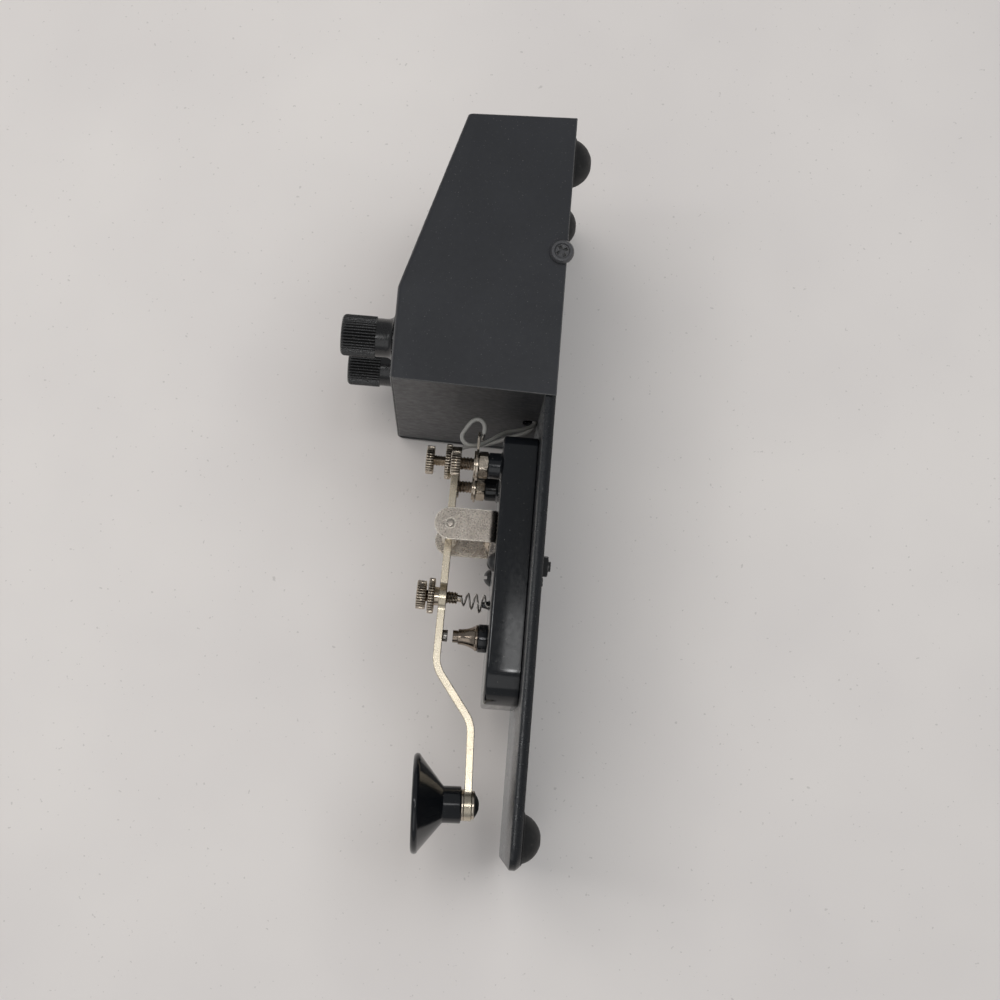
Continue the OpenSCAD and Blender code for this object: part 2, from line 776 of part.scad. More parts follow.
// Both panels follow the lean of the sides' edges
module front_panel() {
    rise = cab_front_h - sheet_t - panel_gap;
    foot_y = cab_y + front_inset;
    low = plate_t * tan(front_a);
    high = rise * tan(front_a);
    color(charcoal) difference() {
        union() {
            side_extrude(panel_w) polygon([
                [foot_y + low, plate_top], [foot_y + high, plate_z + rise],
                [foot_y + high + sheet_t, plate_z + rise], [foot_y + low + sheet_t, plate_top]]);
            on_both(tab_span / 2) translate([0, foot_y + sheet_t + tab_l / 2, plate_top]) panel_tab();
        }
        translate([0, 0, plate_top]) end_extrude(plate_l) wire_notch();
    }
}

module wire_notch() {
    r = notch_w / 4;
    translate([-notch_w / 2, -past]) square([notch_w, notch_h + past - r]);
    translate([r - notch_w / 2, 0]) square([notch_w - 2 * r, notch_h]);
    on_both(notch_w / 2 - r) translate([0, notch_h - r]) circle(r);
}

module rear_panel() {
    foot_y = rear_y - rear_inset;
    low = plate_t * tan(rear_a);
    inner_tail = tail_z - sheet_t / cos(slope_a) - panel_gap;
    rise = inner_tail - plate_z;
    high = rise * tan(rear_a);
    color(charcoal) difference() {
        union() {
            side_extrude(panel_w) polygon([
                [foot_y - low, plate_top], [foot_y - high, plate_z + rise],
                [foot_y - high - sheet_t, plate_z + rise], [foot_y - low - sheet_t, plate_top]]);
            on_both(tab_span / 2) translate([0, foot_y - sheet_t - tab_l / 2, plate_top])
                rotate(180) panel_tab();
        }
        at_rear(jack_span / 2) translate([0, 0, -sheet_t - past])
            cylinder(d = phone_bushing_d + 2 * thread_gap, h = sheet_t + 2 * past);
        at_rear(-jack_span / 2) translate([0, 0, -sheet_t - past])
            cylinder(d = power_tube_d + 2 * thread_gap, h = sheet_t + 2 * past);
    }
}

module side_screws() {
    color(gloss_black) at_side_screws() pan_screw(side_head_d, side_head_h, side_screw_d, side_screw_l);
}

module panel_screws() {
    color(steel) at_panel_tabs() translate([0, 0, sheet_t])
        pan_screw(panel_head_d, panel_head_h, panel_screw_d, sheet_t + plate_t);
}

// Controls
module pot_at(x) {
    translate([x, dial_y, cab_top - sheet_t]) difference() {
        union() {
            translate([0, 0, -pot_h]) cylinder(d = pot_d, h = pot_h);
            cylinder(d = bushing_d, h = sheet_t + bushing_rise);
            for (i = [-1:1])
                translate([i * pot_d / 4 - 0.7, pot_d / 2 - 1, 0.8 - pot_h]) cube([1.4, 5, 0.8]);
        }
        translate([0, 0, past - pot_h])
            cylinder(d = shaft_d + 2 * run_gap, h = pot_h + bushing_rise + sheet_t);
    }
}

module volume_pot() {
    color(steel) pot_at(control_span / 2);
}

module tone_pot() {
    color(steel) pot_at(-control_span / 2);
}

module pot_nuts() {
    color(nickel) on_both(control_span / 2) translate([0, dial_y, cab_top])
        hex_nut(pot_nut_af, pot_nut_t, bushing_d + 2 * thread_gap);
}

module shaft_at(x) {
    translate([x, dial_y, cab_top - sheet_t - pot_h + past + run_gap])
        cylinder(d = shaft_d, h = sheet_t + pot_h - past - run_gap + shaft_rise);
}

module volume_shaft() {
    color(steel) shaft_at(control_span / 2);
}

module tone_shaft() {
    color(steel) shaft_at(-control_span / 2);
}

// A knob's foot is hollow over the control's nut and bushing
module dial_at(x) {
    core_r = dial_d / 2 - dial_flute_depth - 0.1;
    swell = dial_d / 2 + dial_flare - core_r;
    rise = dial_flare_h - dial_rim_t;
    flare = [for (a = [0:15:90]) [core_r + swell * (1 - sin(a)), dial_rim_t + rise * (1 - cos(a))]];
    crown = [for (a = [0:15:90]) [core_r - dial_round * (1 - cos(a)), dial_h - dial_round * (1 - sin(a))]];
    translate([x, dial_y, cab_top + dial_lift]) difference() {
        union() {
            rotate_extrude() polygon(concat([[0, 0], [core_r + swell, 0]], flare, crown, [[0, dial_h]]));
            translate([0, 0, dial_skirt_h]) linear_extrude(dial_grip_h - dial_round)
                knurled_2d(dial_d, dial_flutes, dial_flute_depth);
        }
        translate([0, 0, -past]) cylinder(d = dial_recess_d, h = past + pot_nut_t - dial_lift + dial_clear);
        translate([0, 0, -past])
            cylinder(d = bushing_d + 2 * dial_clear, h = past + bushing_rise - dial_lift + dial_clear);
        translate([0, 0, -past])
            cylinder(d = shaft_d + 2 * thread_gap, h = past + shaft_rise - dial_lift + dial_clear);
    }
}

module volume_knob() {
    color(gloss_black) dial_at(control_span / 2);
}

module tone_knob() {
    color(gloss_black) dial_at(-control_span / 2);
}

// Speaker, glued by its rim under the sloping sheet
module at_speaker() {
    at_slope() translate([0, 0, -sheet_t]) children();
}

module speaker_frame() {
    r = speaker_d / 2;
    mouth = r - speaker_rim_w;
    back = magnet_d / 2;
    wall = 0.9;
    color(steel) at_speaker() difference() {
        rotate_extrude() polygon([
            [mouth, 0], [r, 0], [r, -speaker_rim_t], [mouth + wall, -speaker_rim_t], [back, -basket_h],
            [coil_r + 1, -basket_h], [coil_r + 1, wall - basket_h], [back - wall, wall - basket_h],
            [mouth, -speaker_rim_t]]);
        for (a = [45:90:315])
            rotate(a) translate([back, -magnet_d / 5, 2 * wall - basket_h])
                cube([speaker_d, magnet_d / 2.5, basket_h - 2 * speaker_rim_t - 2 * wall]);
    }
}

module speaker_cone() {
    mouth = speaker_d / 2 - speaker_rim_w - run_gap;
    paper = 0.6;
    throat_z = basket_h - 3;
    color(paper_black) at_speaker() {
        rotate_extrude() polygon([
            [mouth, -0.2], [mouth, -speaker_rim_t], [coil_r, -throat_z], [coil_r, -basket_h + 0.2],
            [coil_r - paper, -basket_h + 0.2], [coil_r - paper, -throat_z + 1.2], [0, -throat_z + 2.4],
            [0, -throat_z + 3], [coil_r, -throat_z + 1.5], [mouth - 1.5, -0.2]]);
    }
}

module speaker_magnet() {
    color(steel) at_speaker() translate([0, 0, -speaker_depth])
        cylinder(d = magnet_d, h = speaker_depth - basket_h);
}

// Circuit board
module circuit_board() {
    color(board_green) difference() {
        translate([-board_w / 2, board_y - board_l / 2, board_z]) cube([board_w, board_l, board_t]);
        at_board_corners() translate([0, 0, board_z - past])
            cylinder(d = board_screw_d + 2 * thread_gap, h = board_t + 2 * past);
    }
}

module board_spacers() {
    color(steel) at_board_corners() translate([0, 0, plate_top])
        flat_washer(spacer_d, board_lift, board_screw_d + 2 * thread_gap);
}

module board_screws() {
    color(steel) at_board_corners() translate([0, 0, board_z + board_t])
        pan_screw(spacer_d - 0.4, 1.4, board_screw_d, board_t + board_lift + plate_t - past);
}

// An eight-legged chip: its legs end on the board
module oscillator_chip() {
    chip = [9.6, 6.4, 3.3];
    stand = 0.8;
    leg_pitch = 2.54;
    color(gloss_black) translate([chip_x, board_y, board_z + board_t]) {
        translate([-chip[0] / 2, -chip[1] / 2, stand]) cube(chip);
        for (sy = [-1, 1], i = [0:3])
            translate([(i - 1.5) * leg_pitch - 0.3, sy * (chip[1] / 2 + 0.15) - 0.25, 0])
                cube([0.6, 0.5, stand + 1.6]);
    }
}

module capacitors() {
    can_d = 5;
    can_h = 6;
    spots = [[can_x, -can_y], [can_x, can_y / 4], [-can_x - can_d / 2, -can_y]];
    color("#27415f") for (p = spots)
        translate([p[0], board_y + p[1], board_z + board_t]) cylinder(d = can_d, h = can_h);
}

module resistors() {
    body_d = 2.2;
    body_l = 6.2;
    color("#b79b73") for (i = [0:3])
        translate([(i + 1) * resistor_pitch, board_y - resistor_pitch, board_z + board_t + body_d / 2])
            rotate([90, 0, 0]) cylinder(d = body_d, h = body_l, center = true);
}

// Battery
module battery() {
    color(gloss_black) translate([battery_x, battery_y, battery_z]) {
        translate([-battery_l / 2, -battery_w / 2, 0]) cube([battery_l, battery_w, battery_h]);
        for (s = [-1, 1]) translate([battery_l / 2, s * snap_pitch / 2, battery_h / 2]) rotate([0, 90, 0])
            cylinder(d = snap_d, h = snap_rise);
    }
}

module battery_snap() {
    cap_w = battery_w - 1;
    cap_h = 12;
    color(rubber_black) translate([battery_x + battery_l / 2, battery_y, battery_z + battery_h / 2])
        difference() {
            translate([0, -cap_w / 2, -cap_h / 2]) cube([snap_t, cap_w, cap_h]);
            for (s = [-1, 1]) translate([-past, s * snap_pitch / 2, 0]) rotate([0, 90, 0])
                cylinder(d = snap_d + 2 * thread_gap, h = past + snap_rise + thread_gap);
        }
}

// A sprung clip of bent sheet, which the battery is pressed into
module battery_clip() {
    arm_h = battery_h * 0.7;
    color(steel) translate([battery_x, battery_y, plate_top]) {
        translate([-clip_w / 2, -clip_reach, 0]) cube([clip_w, 2 * clip_reach, clip_t]);
        for (s = [-1, 1]) translate([-clip_w / 2, s * (clip_reach - clip_t / 2) - clip_t / 2, 0])
            cube([clip_w, clip_t, arm_h]);
    }
}

// Jacks in the rear panel: local +Z points out of the cabinet
module phone_jack() {
    color(gloss_black) at_rear(jack_span / 2) difference() {
        union() {
            translate([-phone_body[0] / 2, -phone_body[1] / 2, -sheet_t - phone_body[2]]) cube(phone_body);
            translate([0, 0, -sheet_t]) cylinder(d = phone_bushing_d, h = sheet_t + jack_rise);
        }
        translate([0, 0, -phone_body[2]]) cylinder(d = phone_bore_d, h = phone_body[2] + jack_rise + past);
    }
}

module power_jack() {
    depth = power_body[2] - 4;
    color(gloss_black) at_rear(-jack_span / 2) {
        difference() {
            union() {
                translate([-power_body[0] / 2, -power_body[1] / 2, -sheet_t - power_body[2]])
                    cube(power_body);
                translate([0, 0, -sheet_t]) cylinder(d = power_tube_d, h = sheet_t + jack_rise);
            }
            translate([0, 0, -depth]) cylinder(d = power_bore_d, h = depth + jack_rise + past);
        }
        translate([0, 0, -depth - past]) cylinder(d = power_pin_d, h = depth + past + jack_rise - 0.6);
    }
}

module jack_nuts() {
    color(nickel) {
        at_rear(jack_span / 2) hex_nut(phone_bushing_d + 2.2, jack_nut_t, phone_bushing_d + 2 * thread_gap);
        at_rear(-jack_span / 2) hex_nut(power_tube_d + 3, jack_nut_t, power_tube_d + 2 * thread_gap);
    }
}

// Key base
module key_outline(inset) {
    hull() {
        on_both(key_w / 2 - key_front_r) translate([0, key_front_y + key_front_r])
            circle(key_front_r - inset, $fn = 64);
        on_both(key_w / 2 - key_rear_r) translate([0, key_rear_y - key_rear_r])
            circle(key_rear_r - inset, $fn = 32);
    }
}

module key_base() {
    color(gloss_black) difference() {
        union() {
            hull() {
                translate([0, 0, plate_top]) linear_extrude(key_h - key_chamfer) key_outline(0);
                translate([0, 0, plate_top]) linear_extrude(key_h) key_outline(key_chamfer);
            }
            at_terminals() translate([0, 0, key_top - past]) cylinder(d = boss_d, h = boss_h + past);
            translate([0, spring_y, key_top - past]) cylinder(d = nub_d, h = past + nub_h / 3);
            translate([0, spring_y, key_top + nub_h / 3])
                cylinder(d1 = nub_d, d2 = nub_d / 3, h = nub_h * 2 / 3);
        }
        at_terminals() translate([0, 0, boss_z - terminal_depth])
            cylinder(d = terminal_d + 2 * thread_gap, h = terminal_depth + past);
        at_key_screws() translate([0, 0, plate_top - past])
            cylinder(d = key_screw_d + 2 * thread_gap, h = key_h + 2 * past);
        on_both(bracket_screw_x) translate([0, pivot_y, key_top - key_h / 2])
            cylinder(d = bracket_screw_d + 2 * thread_gap, h = key_h / 2 + past);
        translate([0, contact_y, key_top - contact_stem_l])
            cylinder(d = contact_stem_d + 2 * thread_gap, h = contact_stem_l + past);
    }
}

module key_screws() {
    below = key_nut_t + 0.8;
    color(gloss_black) at_key_screws() translate([0, 0, key_top])
        round_screw(key_head_d, key_head_h, key_screw_d, key_h + plate_t + below);
}

module key_nuts() {
    color(gloss_black) at_key_screws() translate([0, 0, plate_z - key_nut_t])
        hex_nut(key_nut_af, key_nut_t, key_screw_d + 2 * thread_gap);
}

// Bracket: one bent strip with round-topped uprights
module u_outline(w, h, r) {
    translate([-w / 2, r]) square([w, h - r]);
    translate([r - w / 2, 0]) square([w - 2 * r, r]);
    on_both(w / 2 - r) translate([0, r]) circle(r);
}

module bracket() {
    upright_h = pivot_h + bracket_l / 2;
    color(nickel) translate([0, pivot_y, key_top]) difference() {
        intersection() {
            end_extrude(bracket_l) difference() {
                u_outline(bracket_w, upright_h, bracket_bend_r);
                translate([0, bracket_t])
                    u_outline(bracket_w - 2 * bracket_t, upright_h + past, bracket_bend_r - bracket_t + 0.4);
            }
            side_extrude(bracket_w + past) union() {
                translate([-bracket_l / 2, 0]) square([bracket_l, pivot_h]);
                translate([0, pivot_h]) circle(d = bracket_l);
            }
        }
        translate([0, 0, pivot_h]) rotate([0, 90, 0])
            cylinder(d = pin_d + 2 * thread_gap, h = bracket_w + past, center = true);
        on_both(bracket_screw_x) translate([0, 0, -past])
            cylinder(d = bracket_screw_d + 2 * thread_gap, h = bracket_t + 2 * past);
    }
}

module bracket_screws() {
    color(nickel) on_both(bracket_screw_x) translate([0, pivot_y, key_top + bracket_t])
        round_screw(bracket_head_d, bracket_head_h, bracket_screw_d, bracket_t + key_h / 2 - 0.5);
}

module pivot_pin() {
    color(steel) translate([0, pivot_y, pivot_z]) rotate([0, 90, 0])
        cylinder(d = pin_d, h = bracket_w + 2 * pin_show, center = true);
}

// Lever: a bent strap with round eyes, brazed to the sleeve that turns on the pin
module lever_plan() {
    tall = 4 * lever_drop;
    translate([0, 0, -tall / 2]) linear_extrude(tall) {
        translate([-strap_w / 2, -knob_arm]) square([strap_w, knob_arm + gap_arm]);
        for (u = [gap_arm, -tension_arm, -knob_arm]) translate([0, u]) circle(d = eye_d);
    }
}

module lever() {
    color(nickel) at_lever() difference() {
        union() {
            intersection() {
                side_extrude(eye_d + past) strip_2d([
                    [gap_arm + eye_d / 2, strap_lift], [-bend_arm, strap_lift], [-bend2_arm, tongue_w],
                    [-tip_arm, tip_w]], strap_bend_r, strap_t);
                lever_plan();
            }
            translate([0, gap_arm, strap_lift]) cylinder(d = rear_boss_d, h = rear_boss_t, center = true);
            rotate([0, 90, 0]) cylinder(d = pin_d + 2 * (run_gap + sleeve_wall), h = sleeve_l, center = true);
        }
        rotate([0, 90, 0]) cylinder(d = pin_d + 2 * run_gap, h = sleeve_l + past, center = true);
        translate([0, gap_arm, strap_lift])
            cylinder(d = gap_d + 2 * run_gap, h = rear_boss_t + past, center = true);
        translate([0, -tension_arm, strap_lift])
            cylinder(d = tension_d + 2 * run_gap, h = strap_t + past, center = true);
        translate([0, -knob_arm, knob_w]) rotate([tongue_drop, 0, 0])
            cylinder(d = knob_screw_d + 2 * thread_gap, h = strap_t + past, center = true);
    }
}

module contact_stud() {
    color(steel) at_lever() translate([0, -contact_arm, stud_foot]) cylinder(d = stud_d, h = stud_h);
}

// The lower contact's cone sweeps out to its flange like a bell
module lower_contact() {
    bell_h = lower_tip_z - tip_h - flange_z - flange_t;
    spread = (flange_d - 0.6 - neck_d) / 2;
    bell_z = flange_z + flange_t;
    stem_z = key_top - contact_stem_l + thread_gap;
    bell = [for (f = [0:1 / 6:1]) [neck_d / 2 + spread * pow(1 - f, 2.2), bell_z + bell_h * f]];
    color(nickel) translate([0, contact_y, 0]) rotate_extrude() polygon(concat(
        [[0, stem_z], [contact_stem_d / 2, stem_z], [contact_stem_d / 2, flange_z],
         [flange_d / 2, flange_z], [flange_d / 2, bell_z]],
        bell,
        [[tip_d / 2, lower_tip_z - tip_h], [tip_d / 2, lower_tip_z], [0, lower_tip_z]]));
}

module contact_washer() {
    color(gloss_black) translate([0, contact_y, key_top])
        flat_washer(washer_d, washer_t, contact_stem_d + 2 * thread_gap);
}

// Adjusting screws on the lever
module tension_screw() {
    color(nickel) at_lever() translate([0, -tension_arm, 0]) {
        translate([0, 0, tension_head_z]) linear_extrude(tension_head_t)
            knurled_2d(thumb_d, knurl_count, knurl_depth);
        translate([0, 0, tension_foot_z]) cylinder(d = tension_d, h = tension_head_z - tension_foot_z + thin);
        translate([0, 0, tension_foot_z - pilot_l]) cylinder(d = pilot_d, h = pilot_l + thin);
    }
}

// The lock nut stands on a narrow shoulder
module tension_lock_nut() {
    hole = tension_d + 2 * run_gap;
    color(nickel) at_lever() translate([0, -tension_arm, strap_top]) {
        flat_washer(tension_d + 1.8, lock_shoulder_h + thin, hole);
        translate([0, 0, lock_shoulder_h]) knurled_nut(lock_d, tension_lock_t, hole);
    }
}

module gap_screw() {
    color(nickel) at_lever() translate([0, gap_arm, 0]) {
        translate([0, 0, gap_head_z]) linear_extrude(gap_head_t)
            knurled_2d(thumb_d, knurl_count, knurl_depth);
        translate([0, 0, gap_tip_z]) cylinder(d = gap_d, h = gap_head_z - gap_tip_z + thin);
    }
}

module gap_lock_nut() {
    color(nickel) at_lever() translate([0, gap_arm, gap_lock_z])
        knurled_nut(lock_d, gap_lock_t, gap_d + 2 * run_gap);
}

// Return spring: a cone of curls that leans a little, with straight ends
spring_low_z = key_top + 2 * spring_wire;
spring_high_z = spring_top_z - 2 * spring_wire;
spring_count = ceil(spring_turns * spring_steps);

function spring_point(i) =
    let (f = i / spring_count, a = 360 * i / spring_steps,
         r = spring_foot_r + (spring_top_r - spring_foot_r) * f)
    [r * cos(a), spring_y + (spring_top_y - spring_y) * f + r * sin(a),
     spring_low_z + (spring_high_z - spring_low_z) * f];

spring_first = spring_point(0);
spring_last = spring_point(spring_count);
spring_lead = spring_wire / 5;
spring_path = concat(
    [[spring_first[0], spring_first[1] - spring_wire, key_top],
     [spring_first[0], spring_first[1] - spring_wire, key_top + spring_wire]],
    [for (i = [0:spring_count]) spring_point(i)],
    [spring_last + [0, spring_lead, spring_wire],
     [spring_last[0], spring_last[1] + spring_lead, spring_top_z]]);

// Least gap between curls, from points at least half a curl apart along the wire
spring_clear = min([for (i = [0:len(spring_path) - 1], j = [i + spring_steps / 2:1:len(spring_path) - 1])
    norm(spring_path[i] - spring_path[j])]) - spring_wire;
echo(least_gap_in_return_spring = spring_clear);

module return_spring() {
    color(steel) swept_tube(spring_path, spring_wire, spring_sides);
}

// Terminals
module terminal_studs() {
    top = thumb_nut_z + thumb_nut_t - 0.4;
    foot = boss_z - terminal_depth + thread_gap;
    color(nickel) at_terminals() translate([0, 0, foot]) cylinder(d = terminal_d, h = top - foot);
}

module terminal_nuts() {
    color(nickel) at_terminals() translate([0, 0, boss_z]) rotate(30)
        hex_nut(terminal_nut_af, terminal_nut_t, terminal_d + 2 * thread_gap);
}

// A lug is a ring round the stud with a round-ended tail, which the wire is soldered to
module solder_lugs() {
    r = lug_w / 2;
    reach = lug_reach - r;
    color(nickel) at_terminals() translate([0, 0, lug_z]) linear_extrude(lug_t) difference() {
        union() {
            circle(d = lug_ring_d);
            translate([-r, 0]) square([lug_w, reach]);
            translate([0, reach]) circle(r);
        }
        circle(d = terminal_d + 2 * thread_gap);
        translate([0, reach]) circle(d = r);
    }
}

module terminal_washers() {
    color(nickel) at_terminals() translate([0, 0, terminal_washer_z])
        flat_washer(terminal_washer_d, terminal_washer_t, terminal_d + 2 * thread_gap);
}

module thumb_nuts() {
    color(nickel) at_terminals() translate([0, 0, thumb_nut_z])
        knurled_nut(thumb_nut_d, thumb_nut_t, terminal_d + 2 * thread_gap);
}

// Key knob: a collar, a wide flare and a round-edged, dished top
module key_knob() {
    collar_r = collar_d / 2;
    rim_r = knob_d / 2;
    flare_top = collar_h + flare_h;
    edge = rim_t / 2;
    color(gloss_black) at_tongue() translate([0, 0, knob_seat]) difference() {
        rotate_extrude() polygon(concat(
            [[0, 0], [collar_r, 0], [collar_r, collar_h], [rim_r - edge * 0.8, flare_top]],
            [for (a = [-60:20:90]) [rim_r - edge + edge * cos(a), flare_top + edge + edge * sin(a)]],
            [[rim_r - 2 * rim_t, flare_top + rim_t - dish], [0, flare_top + rim_t - dish]]));
        translate([0, 0, -past])
            cylinder(d = knob_screw_d + 2 * thread_gap, h = past + knob_thread_l + thread_gap);
    }
}

module knob_screw() {
    grip = strap_t / 2 + lower_washer_t;
    color(gloss_black) at_tongue() translate([0, 0, -grip]) rotate([180, 0, 0])
        round_screw(knob_screw_head_d, knob_screw_head_h, knob_screw_d, grip + knob_seat + knob_thread_l);
}

module knob_washers() {
    color(nickel) at_tongue() {
        translate([0, 0, strap_t / 2]) flat_washer(eye_d, upper_washer_t, knob_screw_d + 2 * thread_gap);
        translate([0, 0, -strap_t / 2 - lower_washer_t])
            flat_washer(eye_d - 0.9, lower_washer_t, knob_screw_d + 2 * thread_gap);
    }
}

// Hook-up wires
module near_wire() {
    color(wire_grey) swept_tube(near_route, wire_d, wire_sides);
}

module far_wire() {
    color(wire_grey) swept_tube(far_route, wire_d, wire_sides);
}

base_plate();
rubber_feet();
cabinet_cover();
front_panel();
rear_panel();
side_screws();
panel_screws();
volume_pot();
tone_pot();
pot_nuts();
volume_shaft();
tone_shaft();
volume_knob();
tone_knob();
speaker_frame();
speaker_cone();
speaker_magnet();
circuit_board();
board_spacers();
board_screws();
oscillator_chip();
capacitors();
resistors();
battery();
battery_snap();
battery_clip();
phone_jack();
power_jack();
jack_nuts();
key_base();
key_screws();
key_nuts();
bracket();
bracket_screws();
pivot_pin();
lever();
contact_stud();
lower_contact();
contact_washer();
tension_screw();
tension_lock_nut();
return_spring();
gap_screw();
gap_lock_nut();
terminal_studs();
terminal_nuts();
solder_lugs();
terminal_washers();
thumb_nuts();
key_knob();
knob_screw();
knob_washers();
near_wire();
far_wire();
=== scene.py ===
"""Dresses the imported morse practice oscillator: detailed pieces, worn materials, table, light and camera."""
import json
import math
from math import cos, pi, radians, sin, tan

import bmesh
import bpy
from mathutils import Matrix, Vector


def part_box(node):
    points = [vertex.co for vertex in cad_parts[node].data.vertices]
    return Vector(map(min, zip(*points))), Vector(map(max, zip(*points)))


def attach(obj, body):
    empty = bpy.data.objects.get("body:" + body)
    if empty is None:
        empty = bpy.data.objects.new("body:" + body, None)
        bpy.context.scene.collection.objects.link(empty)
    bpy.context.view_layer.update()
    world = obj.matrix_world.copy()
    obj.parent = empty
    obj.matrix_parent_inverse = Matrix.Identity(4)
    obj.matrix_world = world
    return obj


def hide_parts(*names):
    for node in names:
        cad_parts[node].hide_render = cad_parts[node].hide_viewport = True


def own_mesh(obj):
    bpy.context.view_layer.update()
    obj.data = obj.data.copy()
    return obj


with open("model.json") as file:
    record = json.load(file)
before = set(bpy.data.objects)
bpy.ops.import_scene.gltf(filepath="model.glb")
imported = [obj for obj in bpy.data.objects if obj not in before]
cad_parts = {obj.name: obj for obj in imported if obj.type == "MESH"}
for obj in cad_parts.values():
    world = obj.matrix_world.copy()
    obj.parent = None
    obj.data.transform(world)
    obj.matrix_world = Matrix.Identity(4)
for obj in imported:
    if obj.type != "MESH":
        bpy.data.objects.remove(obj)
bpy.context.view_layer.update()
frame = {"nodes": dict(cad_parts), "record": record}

# Sizes of the plate and the cabinet in millimetres, as in the part's source
MM = 0.001
PLATE_Z = 5.6
PLATE_TOP = 8.8
FRONT_Y = -107.95
REAR_Y = 107.95
BODY_W = 95.25
CAB_Y = 25.4
CAB_TOP = 53.3
SHEET = 1.2
SKIN = 0.6
FRONT_H = 47.7
REAR_H = 31.7
FRONT_LEAN = 1.25
REAR_LEAN = 1.35
FRONT_INSET = 0.4
REAR_INSET = 1.5
PANEL_GAP = 0.6
PANEL_W = BODY_W - 2 * (SKIN + PANEL_GAP)
TOP_L = 27
KNEE_Y = CAB_Y + FRONT_LEAN + TOP_L
TAIL_Y = REAR_Y - REAR_LEAN
TAIL_Z = PLATE_Z + REAR_H
SLOPE = math.atan2(CAB_TOP - TAIL_Z, TAIL_Y - KNEE_Y)
REAR_TILT = math.atan2(REAR_LEAN, REAR_H)
TAB_X = 30
DIAL_X = 21.0
DIAL_Y = 44.2
JACK_X = 22
JACK_H = 18

# Sizes of the key
KEY_TOP = 19.05
KEY_FRONT_Y = -62.0
KEY_REAR_Y = 17.0
KEY_W = 54.0
KEY_SCREW_X = 22
KEY_SCREW_Y = -20.5
PIVOT_Y = -9.9
PIVOT_Z = 32.8
LEVER_TILT = radians(1)
STRAP_T = 2.3
STRAP_LIFT = 0.3
STRAP_TOP = STRAP_LIFT + STRAP_T / 2
STRAP_FOOT = STRAP_LIFT - STRAP_T / 2
STRAP_HALF_W = 3.2
EYE_R = 4.75
GAP_ARM = 21.8
TENSION_ARM = 19.9
CONTACT_ARM = 31.6
KNOB_ARM = 81.5
BEND_ARM = 41.1
BEND2_ARM = 57.1
TONGUE_W = -12.0
TONGUE_DROP = radians(3.3)
KNOB_W = TONGUE_W - (KNOB_ARM - BEND2_ARM) * tan(TONGUE_DROP)
TERMINAL_X = 22.5
TERMINAL_Y = 8.0
BOSS_Z = 23.05
LUG_Z = 26.05
LUG_T = 0.7
THUMB_Z = 31.25
THUMB_T = 2.9

# How far cutters run past a sheet, and how far turned stretches run into each other
CUT_PAST = 4
PLATE_PAST = 2
LAP = 0.1
SIDES = (-1, 1)


# Frames that pieces are placed in
def shift(x, y, z):
    return Matrix.Translation((x, y, z))


def spun(angle, axis):
    return Matrix.Rotation(angle, 4, axis)


def rear_frame(x):
    """On the rear panel's face at the jacks' height, with Z out of the panel."""
    y = REAR_Y - REAR_INSET - REAR_LEAN * JACK_H / REAR_H
    return shift(x, y, PLATE_Z + JACK_H) @ spun(REAR_TILT - pi / 2, "X")


LEVER = shift(0, PIVOT_Y, PIVOT_Z) @ spun(-LEVER_TILT, "X")
TONGUE = LEVER @ shift(0, -KNOB_ARM, KNOB_W) @ spun(TONGUE_DROP, "X")
GRILLE = shift(0, (KNEE_Y + TAIL_Y) / 2, (CAB_TOP + TAIL_Z) / 2) @ spun(-SLOPE, "X")
ACROSS = spun(pi / 2, "Y")


# Geometry is kept as (points, faces) until a piece is made of it
def moved(geo, matrix):
    return [matrix @ Vector(p) for p in geo[0]], geo[1]


def joined(*geos):
    points, faces = [], []
    for p, f in geos:
        base = len(points)
        points += [Vector(q) for q in p]
        faces += [[i + base for i in face] for face in f]
    return points, faces


def at_both(geo, place):
    """The same geometry on the left and on the right, where place(side) gives its frame."""
    return joined(*[moved(geo, place(side)) for side in SIDES])


def rings(rows):
    """A closed skin through rows of equally many points, each row a closed loop."""
    n = len(rows[0])
    points = [p for row in rows for p in row]
    faces = []
    for i in range(len(rows) - 1):
        for k in range(n):
            a, b = i * n + k, i * n + (k + 1) % n
            faces.append([a, b, b + n, a + n])
    faces.append(list(range(n))[::-1])
    faces.append(list(range((len(rows) - 1) * n, len(rows) * n)))
    return points, faces


def turned(radius, heights, n):
    """A turned piece whose radius may change round the axis: radius(angle, row)."""
    rows = []
    for i, z in enumerate(heights):
        row = []
        for k in range(n):
            a = 2 * pi * k / n
            r = radius(a, i)
            row.append((r * cos(a), r * sin(a), z))
        rows.append(row)
    return rings(rows)


def lathe(profile, n=64):
    """A plain turned piece from (radius, height) points. A radius of 0 keeps a tiny loop round the axis."""
    least_r = 1e-3
    return turned(lambda a, i: max(profile[i][0], least_r), [p[1] for p in profile], n)


def rounded(points, r, steps=4):
    """The same open outline with its inner corners rounded to radius r."""
    nearly_straight = 0.02
    most_of_side = 0.49
    out = [Vector(points[0])]
    for a, b, c in zip(points, points[1:], points[2:]):
        a, b, c = Vector(a), Vector(b), Vector(c)
        d1, d2 = (a - b), (c - b)
        half = d1.angle(d2, pi) / 2
        if half > pi / 2 - nearly_straight:
            out.append(b)
            continue
        cut_back = min(r / tan(half), most_of_side * d1.length, most_of_side * d2.length)
        out += bent(b + d1.normalized() * cut_back, b, b + d2.normalized() * cut_back, steps)
    out.append(Vector(points[-1]))
    return [tuple(p) for p in out]


def bent(p, b, q, steps):
    """Points of the curve from p to q that heads for the corner b."""
    shares = [k / steps for k in range(steps + 1)]
    return [(1 - t) ** 2 * p + 2 * t * (1 - t) * b + t * t * q for t in shares]


def rod(r, z0, z1, n=32):
    return lathe([(r, z0), (r, z1)], n)


